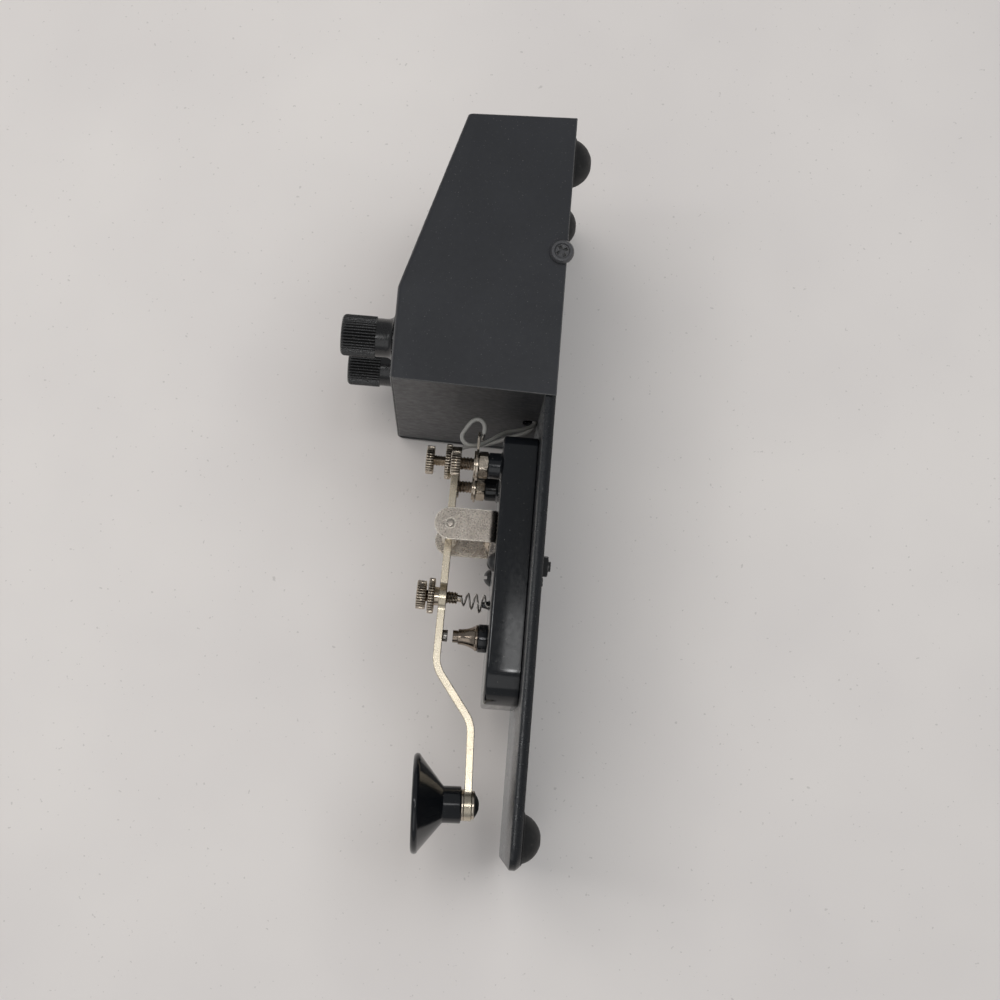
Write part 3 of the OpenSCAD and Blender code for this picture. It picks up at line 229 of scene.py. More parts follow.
def eased_rod(r, z0, z1, ease, n, steps=4):
    """A short rod, disc or washer with rounded rims."""
    return lathe(rounded([(0.0, z0), (r, z0), (r, z1), (0.0, z1)], ease, steps), n)


def knurled(r, z0, z1, ridges, depth=0.5, edge=0.35):
    """A drum with a straight knurl of flat-topped ridges and eased rims."""
    ease = 0.35 * edge
    flank_slope = 1.8
    points_per_ridge = 8
    profile = [(r - edge - depth, z0), (r - ease, z0 + ease), (r, z0 + edge), (r, (z0 + z1) / 2),
               (r, z1 - edge), (r - ease, z1 - ease), (r - edge - depth, z1)]
    last = len(profile) - 1

    def radius(a, i):
        if i in (0, last):
            return profile[i][0]
        ramp = abs(2 * (ridges * a / (2 * pi) % 1) - 1)
        return profile[i][0] - depth * max(0, 1 - flank_slope * (1 - ramp))
    return turned(radius, [p[1] for p in profile], ridges * points_per_ridge)


def hexagon(af, z0, z1, chamfer=0.35):
    """A hexagon nut, af across its flats, with turned corners."""
    top_r = af / 2 * 0.97
    heights = [z0, z0 + chamfer / 2, z0 + chamfer, z1 - chamfer, z1 - chamfer / 2, z1]
    reach = [top_r, top_r + chamfer, top_r + 2 * chamfer, top_r + 2 * chamfer, top_r + chamfer, top_r]

    def radius(a, i):
        from_flat = (a + pi / 6) % (pi / 3) - pi / 6
        return min(af / 2 / cos(from_flat), reach[i])
    return turned(radius, heights, 72)


def thread(r, z0, z1, pitch, depth=0.36, n=28):
    """A threaded rod with a true helix."""
    rows_per_turn = 8
    count = max(2, round((z1 - z0) / pitch * rows_per_turn))
    heights = [z0 + (z1 - z0) * i / count for i in range(count + 1)]

    def radius(a, i):
        f = (heights[i] / pitch + a / (2 * pi)) % 1
        taper = depth if i in (0, count) else 0
        return r - max(depth * abs(2 * f - 1), taper)
    return turned(radius, heights, n)


def dome(head_d, head_h, steps=8):
    """Profile of a round screw head that stands on z = 0, from its eased foot to its crown."""
    big_r = (head_d * head_d / 4 + head_h * head_h) / (2 * head_h)
    half = math.asin(head_d / 2 / big_r)
    lip = 0.132 * head_h
    profile = [(head_d / 2 - 0.15, 0), (head_d / 2, 0.1)]
    for k in range(steps + 1):
        a = half * (1 - k / steps)
        profile.append((big_r * sin(a), max(lip, head_h - big_r + big_r * cos(a))))
    return profile


def block(x0, x1, y0, y1, z0, z1):
    points = [(x, y, z) for z in (z0, z1) for x, y in ((x0, y0), (x1, y0), (x1, y1), (x0, y1))]
    faces = [[3, 2, 1, 0], [4, 5, 6, 7], [0, 1, 5, 4], [1, 2, 6, 5], [2, 3, 7, 6], [3, 0, 4, 7]]
    return points, faces


def slab(outline, levels):
    """A plate built up from an outline that is drawn in by an inset at each level."""
    return rings([[(x, y, z) for x, y in outline(inset)] for inset, z in levels])


def arc(cx, cy, r, a0, a1, steps=10):
    turns = [radians(a0 + (a1 - a0) * k / steps) for k in range(steps + 1)]
    return [(cx + r * cos(a), cy + r * sin(a)) for a in turns]


def ribbon(stations, t):
    """A bent strip of thickness t along (point, across, half width) stations in the YZ plane."""
    rows = []
    for p, n, h in stations:
        up, low = p + n * t / 2, p - n * t / 2
        rows.append([(-h, up.x, up.y), (h, up.x, up.y), (h, low.x, low.y), (-h, low.x, low.y)])
    return rings(rows)


def heading(points, i):
    """The direction of a line at its point i."""
    return (points[min(i + 1, len(points) - 1)] - points[max(i - 1, 0)]).normalized()


def smooth_line(points, per=6):
    """Points of a smooth line through the given ones, per steps between each two."""
    pts = [Vector(p) for p in points]
    out = []
    for i in range(len(pts) - 1):
        p0, p1, p2, p3 = pts[max(i - 1, 0)], pts[i], pts[i + 1], pts[min(i + 2, len(pts) - 1)]
        for k in range(per):
            t = k / per
            out.append(0.5 * (2 * p1 + (p2 - p0) * t + (2 * p0 - 5 * p1 + 4 * p2 - p3) * t * t
                              + (3 * p1 - p0 - 3 * p2 + p3) * t ** 3))
    out.append(pts[-1])
    return out


def tube(points, r, sides=14):
    """A round wire along a line, its rings carried along without twist."""
    turns = [2 * pi * k / sides for k in range(sides)]
    rows = []
    side = heading(points, 0).orthogonal().normalized()
    for i, p in enumerate(points):
        t = heading(points, i)
        side = (side - t * side.dot(t)).normalized()
        other = t.cross(side)
        rows.append([p + r * (cos(a) * side + sin(a) * other) for a in turns])
    return rings(rows)


# Materials, by name
MATERIALS = {}


class Shader:
    """A small helper that makes a material, adds nodes to it and links them."""

    def __init__(self, name):
        self.mat = bpy.data.materials.new(name)
        self.mat.use_nodes = True
        self.tree = self.mat.node_tree
        self.bsdf = self.tree.nodes["Principled BSDF"]
        self.coords = self.tree.nodes.new("ShaderNodeTexCoord").outputs["Object"]
        MATERIALS[name] = self.mat

    def put(self, socket, value):
        if isinstance(value, bpy.types.NodeSocket):
            self.tree.links.new(value, socket)
        else:
            socket.default_value = value

    def fill(self, node, inputs):
        """Sets or links a node's inputs by name, with _ for a blank."""
        for key, value in inputs.items():
            self.put(node.inputs[key.replace("_", " ")], value)

    def add(self, kind, **inputs):
        node = self.tree.nodes.new(kind)
        self.fill(node, inputs)
        return node

    def set(self, **inputs):
        self.fill(self.bsdf, inputs)

    def noise(self, scale, detail=3.0, rough=0.55, stretch=None):
        """Noise of so many cells to the metre."""
        vector = self.coords
        if stretch:
            vector = self.add("ShaderNodeMapping", Vector=self.coords, Scale=stretch).outputs["Vector"]
        node = self.add("ShaderNodeTexNoise", Vector=vector, Scale=scale, Detail=detail, Roughness=rough)
        return node.outputs["Fac"]

    def ramp(self, value, low=0.3, high=0.7, out_low=0.0, out_high=1.0):
        """A value carried from one range, by default what noise mostly keeps to, to another."""
        node = self.add("ShaderNodeMapRange", Value=value, From_Min=low, From_Max=high, To_Min=out_low,
                        To_Max=out_high)
        return node.outputs["Result"]

    def times(self, a, b):
        node = self.tree.nodes.new("ShaderNodeMath")
        node.operation = "MULTIPLY"
        self.put(node.inputs[0], a)
        self.put(node.inputs[1], b)
        return node.outputs[0]

    def mix(self, factor, a, b):
        """A colour between a and b. The node's sockets 6 and 7 are the ones for colours."""
        node = self.tree.nodes.new("ShaderNodeMix")
        node.data_type = "RGBA"
        self.put(node.inputs[0], factor)
        self.put(node.inputs[6], (*a, 1) if isinstance(a, tuple) else a)
        self.put(node.inputs[7], (*b, 1) if isinstance(b, tuple) else b)
        return node.outputs[2]

    def over(self, body, color, mask, amount):
        """The body's colour with another laid over it where the mask is high."""
        return self.mix(self.times(mask, amount), body, color)

    def mottled(self, color, scale, detail, share):
        """A colour that drifts by a share of itself either way."""
        drift = self.ramp(self.noise(scale, detail))
        return self.mix(drift, shade(color, 1 - share), shade(color, 1 + share))

    def edges(self, radius_mm):
        """High along sharp edges, where a finish wears and where a highlight is painted into the colour."""
        bevel = self.add("ShaderNodeBevel", Radius=radius_mm * MM)
        bevel.samples = 6
        geometry = self.tree.nodes.new("ShaderNodeNewGeometry")
        dot = self.tree.nodes.new("ShaderNodeVectorMath")
        dot.operation = "DOT_PRODUCT"
        self.put(dot.inputs[0], bevel.outputs["Normal"])
        self.put(dot.inputs[1], geometry.outputs["Normal"])
        return self.ramp(dot.outputs["Value"], 0.995, 0.9)

    def shaded_recesses(self, reach_mm):
        """High in grooves and inner corners, where shade is painted into the colour."""
        node = self.add("ShaderNodeAmbientOcclusion", Distance=reach_mm * MM)
        node.only_local = True
        node.samples = 6
        return self.ramp(node.outputs["AO"], 0.85, 0.4)

    def bump(self, height, strength, depth_mm):
        node = self.add("ShaderNodeBump", Strength=strength, Height=height, Distance=depth_mm * MM)
        self.set(Normal=node.outputs["Normal"])


def srgb(r, g, b):
    """A colour written in screen values, 0 to 255, as linear light."""
    return tuple((c / 255 / 12.92) if c <= 10 else ((c / 255 + 0.055) / 1.055) ** 2.4 for c in (r, g, b))


def shade(color, factor):
    return tuple(factor * c for c in color)


# The first two colours also lighten edges, partly as wear and partly as a painted highlight
WORN_AND_EDGE_LIGHT = srgb(146, 145, 141)
DUST_AND_EDGE_LIGHT = srgb(120, 118, 112)
# Colour of the painted shade in the grooves, threads and recesses of metal
SHADE_IN_RECESSES = srgb(34, 30, 27)


def paint(name, color, rough, grain_mm, bump, edge_wear_and_light):
    """Enamel on steel: mottled, grained, dusty, and lighter along its edges, partly worn and partly a painted
    highlight.
    """
    s = Shader(name)
    body = s.mottled(color, scale=45, detail=4, share=0.12)
    specks = s.ramp(s.noise(2600, 1), 0.72, 0.78)
    body = s.over(body, WORN_AND_EDGE_LIGHT, specks, 0.3)
    scuffs = s.ramp(s.noise(260, 3, 0.6, stretch=(1, 0.06, 1)), 0.68, 0.76)
    body = s.over(body, WORN_AND_EDGE_LIGHT, scuffs, 0.04)
    patchy = s.ramp(s.noise(300), 0.3, 0.6, out_low=0.5)
    # Edges lightened: partly paint worn through, partly a painted highlight
    s.set(Base_Color=s.over(body, WORN_AND_EDGE_LIGHT, s.times(s.edges(0.4), patchy), edge_wear_and_light))
    s.set(Roughness=s.ramp(s.noise(500), out_low=rough - 0.07, out_high=rough + 0.07))
    s.bump(s.noise(1000 / grain_mm, 2, 0.6), bump, 0.05)


def moulding(name, color, rough, edge_wear_and_light, specular=0.5, recess_shade=0.0):
    """Moulded phenolic, plastic or black oxide: polished, with fine hairlines, dust, painted shade in
    recesses, and edges lighter from wear and a painted highlight.
    """
    s = Shader(name)
    body = s.mottled(color, scale=120, detail=3, share=0.1)
    flecks = s.ramp(s.noise(1900, 1), 0.73, 0.79)
    body = s.over(body, DUST_AND_EDGE_LIGHT, flecks, 0.3)
    film = s.ramp(s.noise(90, 5, 0.6), 0.5, 0.8)
    body = s.over(body, DUST_AND_EDGE_LIGHT, film, 0.01)
    # Painted shade in grooves and dished middles, where it is asked for
    if recess_shade:
        body = s.over(body, shade(color, 0.2), s.shaded_recesses(1.0), recess_shade)
    # Edges lightened: partly wear, partly a painted highlight
    s.set(Base_Color=s.over(body, DUST_AND_EDGE_LIGHT, s.edges(0.25), edge_wear_and_light))
    hairlines = s.noise(700, 2, 0.6, stretch=(0.05, 1, 1))
    s.set(Roughness=s.ramp(hairlines, 0.35, 0.7, rough - 0.03, rough + 0.05), Specular_IOR_Level=specular)
    s.bump(s.noise(350, 2), 0.08, 0.05)


def metal(name, color, stain, rough, pits, pit_mm=0.7, bump=0.16, uneven=0.1, edge_mm=0.25, rub_and_light=0.6,
          recess_shade=0.9):
    """Plated or bare metal: tarnish in patches, pits, painted shade in recesses, and edges lighter from
    rubbing and a painted highlight.
    """
    s = Shader(name)
    tarnish = s.ramp(s.noise(160, 4, 0.6), 0.38, 0.72)
    body = s.mix(tarnish, color, stain)
    spots = s.ramp(s.noise(1000 / pit_mm, 2), 0.5, 0.66)
    body = s.over(body, shade(stain, 0.3), spots, pits)
    # Painted shade in grooves and threads
    body = s.over(body, SHADE_IN_RECESSES, s.shaded_recesses(0.7), recess_shade)
    # Edges brightened: partly plating rubbed bright, partly a painted highlight
    bright = tuple(min(1.0, c) for c in shade(color, 0.75 + rub_and_light))
    s.set(Base_Color=s.over(body, bright, s.edges(edge_mm), rub_and_light), Metallic=1.0)
    s.set(Roughness=s.ramp(s.noise(420), out_low=rough - 0.8 * uneven, out_high=rough + 1.2 * uneven))
    s.bump(s.noise(1000 / pit_mm, 2), bump, 0.03)


def plain(name, color, rough, vary=0.2, grain_mm=0.5, bump=0.2, dust=None):
    """Rubber, vinyl, paper and other soft-toned surfaces."""
    s = Shader(name)
    body = s.mottled(color, scale=150, detail=4, share=vary)
    if dust:
        body = s.over(body, dust, s.ramp(s.noise(700), 0.58, 0.75), 0.3)
    s.set(Base_Color=body)
    s.set(Roughness=s.ramp(s.noise(600, 2), out_low=rough - 0.06, out_high=rough + 0.06))
    s.bump(s.noise(1000 / grain_mm, 2), bump, 0.05)


# Looks of the record's slots, and four that some pieces wear instead
paint("cabinet_paint", srgb(36, 37, 40), rough=0.48, grain_mm=0.45, bump=0.25, edge_wear_and_light=0.9)
paint("plate_paint", srgb(17, 19, 22), rough=0.3, grain_mm=0.8, bump=0.03, edge_wear_and_light=0.02)
moulding("moulded_black", srgb(14, 16, 19), rough=0.13, edge_wear_and_light=0.02)
moulding("dial_black", srgb(10, 10, 11), rough=0.25, edge_wear_and_light=0.04, specular=0.7)
moulding("blackened_steel", srgb(16, 16, 17), rough=0.34, edge_wear_and_light=0.06, specular=0.7)
# The side screws' dished middles get painted shade in their recesses
moulding("rubbed_black", srgb(62, 62, 64), rough=0.32, edge_wear_and_light=0.3, specular=0.6, recess_shade=0.95)
metal("nickel", srgb(204, 193, 178), srgb(176, 163, 146), rough=0.18, pits=0.08, pit_mm=0.5, bump=0.06,
      recess_shade=0.6)
metal("strap_nickel", srgb(206, 196, 177), srgb(199, 188, 167), rough=0.26, pits=0.1, pit_mm=0.35, bump=0.04,
      uneven=0.02)
metal("pitted_nickel", srgb(202, 193, 182), srgb(184, 174, 163), rough=0.26, pits=0.9, pit_mm=0.36,
      bump=0.45, edge_mm=0.5, rub_and_light=1.0)
# A darker copy of nickel: painted shade standing in for dim reflections on the lower contact and the terminal
# studs
metal("shaded_nickel", srgb(166, 153, 139), srgb(124, 112, 100), rough=0.17, pits=0.1, pit_mm=0.5, bump=0.06)
metal("steel", srgb(180, 177, 172), srgb(130, 124, 116), rough=0.28, pits=0.35)
plain("foot_rubber", srgb(24, 24, 24), rough=0.6, dust=srgb(80, 78, 74))
plain("cone_paper", srgb(44, 43, 42), rough=0.9, bump=0.5)
plain("board_green", srgb(44, 92, 56), rough=0.4)
plain("capacitor_blue", srgb(40, 66, 96), rough=0.4)
plain("resistor_tan", srgb(186, 160, 118), rough=0.5)
plain("wire_grey", srgb(138, 137, 133), rough=0.45, vary=0.1, grain_mm=0.7, bump=0.1, dust=srgb(100, 97, 92))

# Points closer than this, in metres, are one
WELD = 1e-7


# Pieces
def placed(name, data):
    """A new object in the scene."""
    obj = bpy.data.objects.new(name, data)
    bpy.context.scene.collection.objects.link(obj)
    return obj


def raw(name, geo, weld=False):
    """An object of the geometry, from millimetres to metres, with no finish."""
    mesh = bpy.data.meshes.new(name)
    mesh.from_pydata([Vector(p) * MM for p in geo[0]], [], geo[1])
    bm = bmesh.new()
    bm.from_mesh(mesh)
    if weld:
        bmesh.ops.remove_doubles(bm, verts=bm.verts, dist=WELD)
    bmesh.ops.recalc_face_normals(bm, faces=bm.faces)
    bm.to_mesh(mesh)
    bm.free()
    return placed(name, mesh)


def result(obj):
    """The geometry that an object's modifiers give, in millimetres. The object itself goes."""
    graph = bpy.context.evaluated_depsgraph_get()
    mesh = bpy.data.meshes.new_from_object(obj.evaluated_get(graph))
    bpy.data.objects.remove(obj)
    return [v.co / MM for v in mesh.vertices], [list(p.vertices) for p in mesh.polygons]


def cut(geo, cutters):
    """Geometry with the cutters' shapes taken out of it."""
    target = raw("target", geo)
    tool = raw("tool", joined(*cutters))
    mod = target.modifiers.new("cut", "BOOLEAN")
    mod.operation = "DIFFERENCE"
    mod.solver = "EXACT"
    mod.object = tool
    left = result(target)
    bpy.data.objects.remove(tool)
    return left


def dress(name, geo, body, slot, look=None, bevel=0.0, sharp=32, segments=2):
    """A finished piece that rides on a body. look names its material where that isn't the slot's own."""
    obj = raw(name, geo, weld=True)
    mesh = obj.data
    mesh.materials.append(MATERIALS[look or slot])
    for poly in mesh.polygons:
        poly.use_smooth = True
    mesh.set_sharp_from_angle(angle=radians(sharp))
    if bevel:
        mod = obj.modifiers.new("ease", "BEVEL")
        mod.width = bevel * MM
        mod.segments = segments
        mod.limit_method = "ANGLE"
        mod.angle_limit = radians(sharp)
        mod.harden_normals = True
    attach(obj, body)
    return obj


def make(node, geo, body, slot, **finish):
    """The detailed piece that stands for a CAD node."""
    obj = dress("piece_" + node, geo, body, slot, **finish)
    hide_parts(node)
    return obj


# Camera, fitted to the photograph, with its axes squared up
CAMERA_AT = (0.565125, -0.083151, 0.028801)
FITTED_RIGHT = Vector((0.0301, 0.0789, -0.9964)).normalized()
BACK = Vector((0.9888, -0.1479, 0.0182)).normalized()
UP = BACK.cross(FITTED_RIGHT).normalized()
RIGHT = UP.cross(BACK)
camera_data = bpy.data.cameras.new("camera")
camera_data.sensor_width = 36
camera_data.lens = 66.979
camera_data.clip_start = 0.01
camera = placed("camera", camera_data)
camera.matrix_world = shift(*CAMERA_AT) @ Matrix((RIGHT, UP, BACK)).transposed().to_4x4()
bpy.context.scene.camera = camera

# Wires, along the routes of the part's source, with their last stretch bared at the solder lugs
WIRE_R = 0.625
BARE_L = 2.0
STRAND_R = 0.24
STRANDS = 3
NEAR_ROUTE = [
    (2.5, 31, 9.6), (2.5, 27, 9.6), (2.8, 25, 10.2), (4.5, 23.5, 12), (6.5, 22.2, 15), (8.5, 21, 18.2),
    (11, 19.4, 20.4), (13.5, 17.6, 22.4), (15.6, 16, 24.4), (17.2, 14.8, 26.4), (18.2, 14.3, 28.3),
    (18.9, 14.5, 30), (19.35, 15.5, 31.2), (19.8, 17, 31.5), (20.35, 18.7, 30.6), (20.9, 20.2, 29.6),
    (21.3, 21.25, 28.6), (21.65, 21.7, 27.35), (22, 21.3, 26.1), (22.25, 20.35, 25.3), (22.45, 19.1, 25),
    (22.5, 17.9, 25.1), (22.5, 16.6, 25.3), (22.5, 15.2, 25.4)]
FAR_ROUTE = [
    (-2.5, 31, 9.6), (-2.5, 27, 9.6), (-2.8, 25, 10.2), (-3.8, 23.6, 12), (-5.5, 22.8, 14.6),
    (-8, 22.4, 17.2), (-10.2, 22, 18.8), (-12.5, 21.5, 21), (-14.5, 21, 23.4), (-16.5, 20.9, 25.5),
    (-18.3, 20.9, 27.4), (-19.8, 20.7, 29.4), (-21, 20.2, 31.2), (-22, 19, 32.4), (-22.6, 17.4, 32.8),
    (-22.8, 15.8, 32.2), (-22.7, 14.7, 30.8), (-22.6, 14.2, 29.2), (-22.5, 14, 28), (-22.5, 14, 26.78)]


def parted(line, end_l):
    """The line up to its last stretch of about the given length, and that stretch."""
    i = len(line) - 1
    while end_l > 0:
        end_l -= (line[i] - line[i - 1]).length
        i -= 1
    return line[:i + 1], line[i:]


def strands(line, turns=1.5, steps=16):
    """Bare strands twisted round a short straight line."""
    start, run = line[0], line[-1] - line[0]
    side = run.orthogonal().normalized()
    other = run.normalized().cross(side)
    out = []
    for s in range(STRANDS):
        turn = [2 * pi * (s / STRANDS + turns * k / steps) for k in range(steps + 1)]
        out.append(tube([start + run * k / steps + STRAND_R * (cos(a) * side + sin(a) * other)
                         for k, a in enumerate(turn)], STRAND_R, 8))
    return joined(*out)


for label, route in (("near_wire", NEAR_ROUTE), ("far_wire", FAR_ROUTE)):
    line, bared = parted(smooth_line(route), BARE_L)
    wire = make(label, tube(line, WIRE_R), "instrument", "wire_grey")
    ends = dress("piece_" + label + "_end", strands(bared), "instrument", "steel")

# Base plate
PLATE_GAP = 0.1
PLATE_W = BODY_W - 2 * (SHEET + PLATE_GAP)
CORNER_R = 6.3
SCREW_HOLE_R = 1.55
BOARD_HOLE_R = 1.3
SPACER_R = 2.5
FRONT_TAB_Y = 31.0
REAR_TAB_Y = 101.25
# Inset and height at each level, from the rolled lower edge to the eased upper one
PLATE_LEVELS = [(1.3, PLATE_Z), (0.9, PLATE_Z + 0.25), (0.15, PLATE_Z + 1.1), (0, PLATE_Z + 1.35),
                (0, PLATE_TOP - 0.45), (0.12, PLATE_TOP - 0.15), (0.4, PLATE_TOP)]


def plate_outline(inset):
    x, y0, y1, r = PLATE_W / 2 - inset, FRONT_Y + inset, REAR_Y - REAR_INSET - inset, CORNER_R - inset
    corner_r = arc(x - r, y0 + r, r, -90, 0)
    corner_l = [(-px, py) for px, py in reversed(corner_r)]
    return corner_l + corner_r + [(x, y1), (-x, y1)]


def plate_holes(r, spots):
    drill = rod(r, PLATE_Z - PLATE_PAST, PLATE_TOP + PLATE_PAST, 20)
    return [moved(drill, shift(x, y, 0)) for x, y in spots]


tab_spots = [(sx * TAB_X, y) for sx in SIDES for y in (FRONT_TAB_Y, REAR_TAB_Y)]
key_spots = [(sx * KEY_SCREW_X, KEY_SCREW_Y) for sx in SIDES]
board_low, board_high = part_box("board_spacers")
board_spots = [(x, y) for x in (board_low[0] / MM + SPACER_R, board_high[0] / MM - SPACER_R)
               for y in (board_low[1] / MM + SPACER_R, board_high[1] / MM - SPACER_R)]
holes = plate_holes(SCREW_HOLE_R, tab_spots + key_spots) + plate_holes(BOARD_HOLE_R, board_spots)
make("base_plate", cut(slab(plate_outline, PLATE_LEVELS), holes), "instrument", "plate_paint")

# Feet: domes with a flat to stand on and a thin rim against the plate
FOOT_X = 32
FOOT_Y = 99.35
FOOT_R = 7.0
FOOT_RIM_R = 7.6
FOOT_FLAT_R = 1.5
DOME_H = 4.8
DOME_STEPS = 14
dome_z = (FOOT_R ** 2 + DOME_H ** 2 - FOOT_FLAT_R ** 2) / (2 * DOME_H)
dome_r = math.hypot(FOOT_FLAT_R, dome_z)
dome_from, dome_to = math.asin(FOOT_FLAT_R / dome_r), math.acos((dome_z - DOME_H) / dome_r)
dome_turns = [dome_from + (dome_to - dome_from) * k / DOME_STEPS for k in range(DOME_STEPS + 1)]
foot_profile = [(0.0, 0.0)] + [(dome_r * sin(a), dome_z - dome_r * cos(a)) for a in dome_turns]
foot_profile += [(FOOT_RIM_R - 0.2, DOME_H + 0.05), (FOOT_RIM_R, DOME_H + 0.25), (FOOT_RIM_R, PLATE_Z),
                 (0.0, PLATE_Z)]
foot = lathe(foot_profile, 48)
feet = [moved(foot, shift(sx * FOOT_X, sy * FOOT_Y, 0)) for sx in SIDES for sy in SIDES]
make("rubber_feet", joined(*feet), "instrument", "foot_rubber")

# Cabinet cover: one folded sheet
FOLD_R = 1.6
KNEE_CUT = 0.9
KNEE_STEPS = 4
HOLE_R = 1.6
HOLE_PITCH = 5.8
HOLE_RINGS = 4
DIAL_HOLE_R = 3.75


def cover_section(zt, y_of):
    """Points across the cover, from one lower edge over the top to the other."""
    half = BODY_W / 2
    side = [(half, PLATE_Z), (half, (PLATE_Z + zt) / 2)] + arc(half - FOLD_R, zt - FOLD_R, FOLD_R, 0, 90, 8)
    section = side + [(-x, z) for x, z in reversed(side)]
    return [(x, y_of(z), z) for x, z in section]


def front_edge(z):
    return CAB_Y + FRONT_LEAN * (z - PLATE_Z) / FRONT_H


def rear_edge(z):
    return REAR_Y - REAR_LEAN * (z - PLATE_Z) / REAR_H


def cover_front(z):
    """The cover's front edge, which draws back to the panel's face along the top."""
    return front_edge(z) + FRONT_INSET * min(max((z - CAB_TOP + FOLD_R) / FOLD_R, 0), 1)


def cover_rows():
    """The cover's outer skin: level from the front, bent at the knee, sloping to the rear."""
    rows = [cover_section(CAB_TOP, cover_front)]
    for k in range(KNEE_STEPS + 1):
        t = k / KNEE_STEPS
        y = KNEE_Y - KNEE_CUT * (1 - t) ** 2 + KNEE_CUT * cos(SLOPE) * t * t
        z = CAB_TOP - KNEE_CUT * sin(SLOPE) * t * t
        rows.append(cover_section(z, lambda _: y))
    return rows + [cover_section(TAIL_Z, rear_edge)]


def sheet_skin(rows, t):
    """A folded sheet of thickness t inside an outer skin of rows."""
    outer = bpy.data.meshes.new("skin")
    n = len(rows[0])
    outer.from_pydata([Vector(p) * MM for row in rows for p in row], [],
                      [[i * n + k, i * n + k + 1, (i + 1) * n + k + 1, (i + 1) * n + k]
                       for i in range(len(rows) - 1) for k in range(n - 1)])
    obj = placed("skin", outer)
    mod = obj.modifiers.new("thick", "SOLIDIFY")
    mod.thickness = t * MM
    mod.offset = -1 if outer.polygons[0].normal.x > 0 else 1
    mod.use_even_offset = True
    return result(obj)


cover_holes = []
for ring in range(HOLE_RINGS):
    count = max(1, 6 * ring)
    for i in range(count):
        a = 2 * pi * i / count
        spot = GRILLE @ shift(ring * HOLE_PITCH * cos(a), ring * HOLE_PITCH * sin(a), 0)
        cover_holes.append(moved(rod(HOLE_R, -CUT_PAST, CUT_PAST, 28), spot))
for sx in SIDES:
    cover_holes.append(moved(rod(DIAL_HOLE_R, CAB_TOP - CUT_PAST, CAB_TOP + CUT_PAST, 40),
                             shift(sx * DIAL_X, DIAL_Y, 0)))
make("cabinet_cover", cut(sheet_skin(cover_rows(), SKIN), cover_holes), "instrument", "cabinet_paint",
     bevel=0.22, sharp=38)

# Panels
TAB_HALF_W = 8
TAB_L = 8
NOTCH_W = 9
NOTCH_H = 4.5
NOTCH_R = NOTCH_W / 4
PANEL_CORNER_R = 0.8
REAR_TOP_GAP = 0.3
PHONE_HOLE_R = 3.05
POWER_HOLE_R = 4.05


def panel(outline, y_of, inward):
    """A leaning sheet from an (x, z) outline, with two tabs on the plate. inward is 1 or -1 along Y."""
    n = len(outline)
    points = [(x, y_of(z) + d, z) for d in (0, SHEET * inward) for x, z in outline]
    faces = [list(range(n)), list(range(n, 2 * n))[::-1]]
    faces += [[k, (k + 1) % n, n + (k + 1) % n, n + k] for k in range(n)]
    y = y_of(PLATE_TOP) + SHEET * inward
    y0, y1 = sorted((y, y + TAB_L * inward))
    tabs = [block(sx * TAB_X - TAB_HALF_W, sx * TAB_X + TAB_HALF_W, y0, y1, PLATE_TOP, PLATE_TOP + SHEET)
            for sx in SIDES]
    return joined((points, faces), *tabs)


half_w = PANEL_W / 2
notch_x = NOTCH_W / 2
notch_z = PLATE_TOP + NOTCH_H - NOTCH_R
corner_z = CAB_TOP - SKIN - PANEL_CORNER_R
front_outline = ([(-half_w, PLATE_TOP), (-notch_x, PLATE_TOP)]
                 + arc(-notch_x + NOTCH_R, notch_z, NOTCH_R, 180, 90, 6)
                 + arc(notch_x - NOTCH_R, notch_z, NOTCH_R, 90, 0, 6)
                 + [(notch_x, PLATE_TOP), (half_w, PLATE_TOP)]
                 + arc(half_w - PANEL_CORNER_R, corner_z, PANEL_CORNER_R, 0, 90, 4)
                 + arc(-half_w + PANEL_CORNER_R, corner_z, PANEL_CORNER_R, 90, 180, 4))
front_sheet = panel(front_outline, lambda z: front_edge(z) + FRONT_INSET, 1)
make("front_panel", front_sheet, "instrument", "cabinet_paint", bevel=0.15, sharp=38)
rear_top = TAIL_Z - SKIN / cos(SLOPE) - REAR_TOP_GAP
rear_outline = [(-half_w, PLATE_TOP), (half_w, PLATE_TOP), (half_w, rear_top), (-half_w, rear_top)]
rear_holes = [moved(rod(r, -CUT_PAST, CUT_PAST, 40), rear_frame(x))
              for r, x in ((PHONE_HOLE_R, JACK_X), (POWER_HOLE_R, -JACK_X))]
rear_sheet = panel(rear_outline, lambda z: rear_edge(z) - REAR_INSET, -1)
make("rear_panel", cut(rear_sheet, rear_holes), "instrument", "cabinet_paint", bevel=0.15, sharp=38)


# Screws, whose heads stand on z = 0
def slotted(head_d, head_h, shank_d, shank_l, turn):
    """A round-headed screw with a slot across it."""
    profile = [(0, -shank_l), (shank_d / 2, -shank_l), (shank_d / 2, 0)] + dome(head_d, head_h)
    slot_w = head_d * 0.17
    cutter = block(-head_d, head_d, -slot_w / 2, slot_w / 2, head_h * 0.5, head_h * 2)
    return cut(lathe(profile, 48), [moved(cutter, spun(turn, "Z"))])


def crossed(head_d, head_h, shank_d, shank_l, turn):
    """A pan-headed screw with a rim round its dished middle, and a cross recess there."""
    r = head_d / 2
    axis_r = 0.001
    profile = rounded([(axis_r, -shank_l), (shank_d / 2, -shank_l), (shank_d / 2, 0), (r, 0),
                       (r, head_h * 0.5), (r * 0.86, head_h), (r * 0.66, head_h), (r * 0.56, head_h * 0.68),
                       (axis_r, head_h * 0.6)], 0.3, 5)
    arm, half = head_d * 0.25, head_d * 0.075
    bar = block(-arm, arm, -half, half, head_h * 0.3, head_h * 2)
    geo = lathe(profile, 48)
    for quarter in (0, pi / 2):
        geo = cut(geo, [moved(bar, spun(turn + quarter, "Z"))])
    return geo


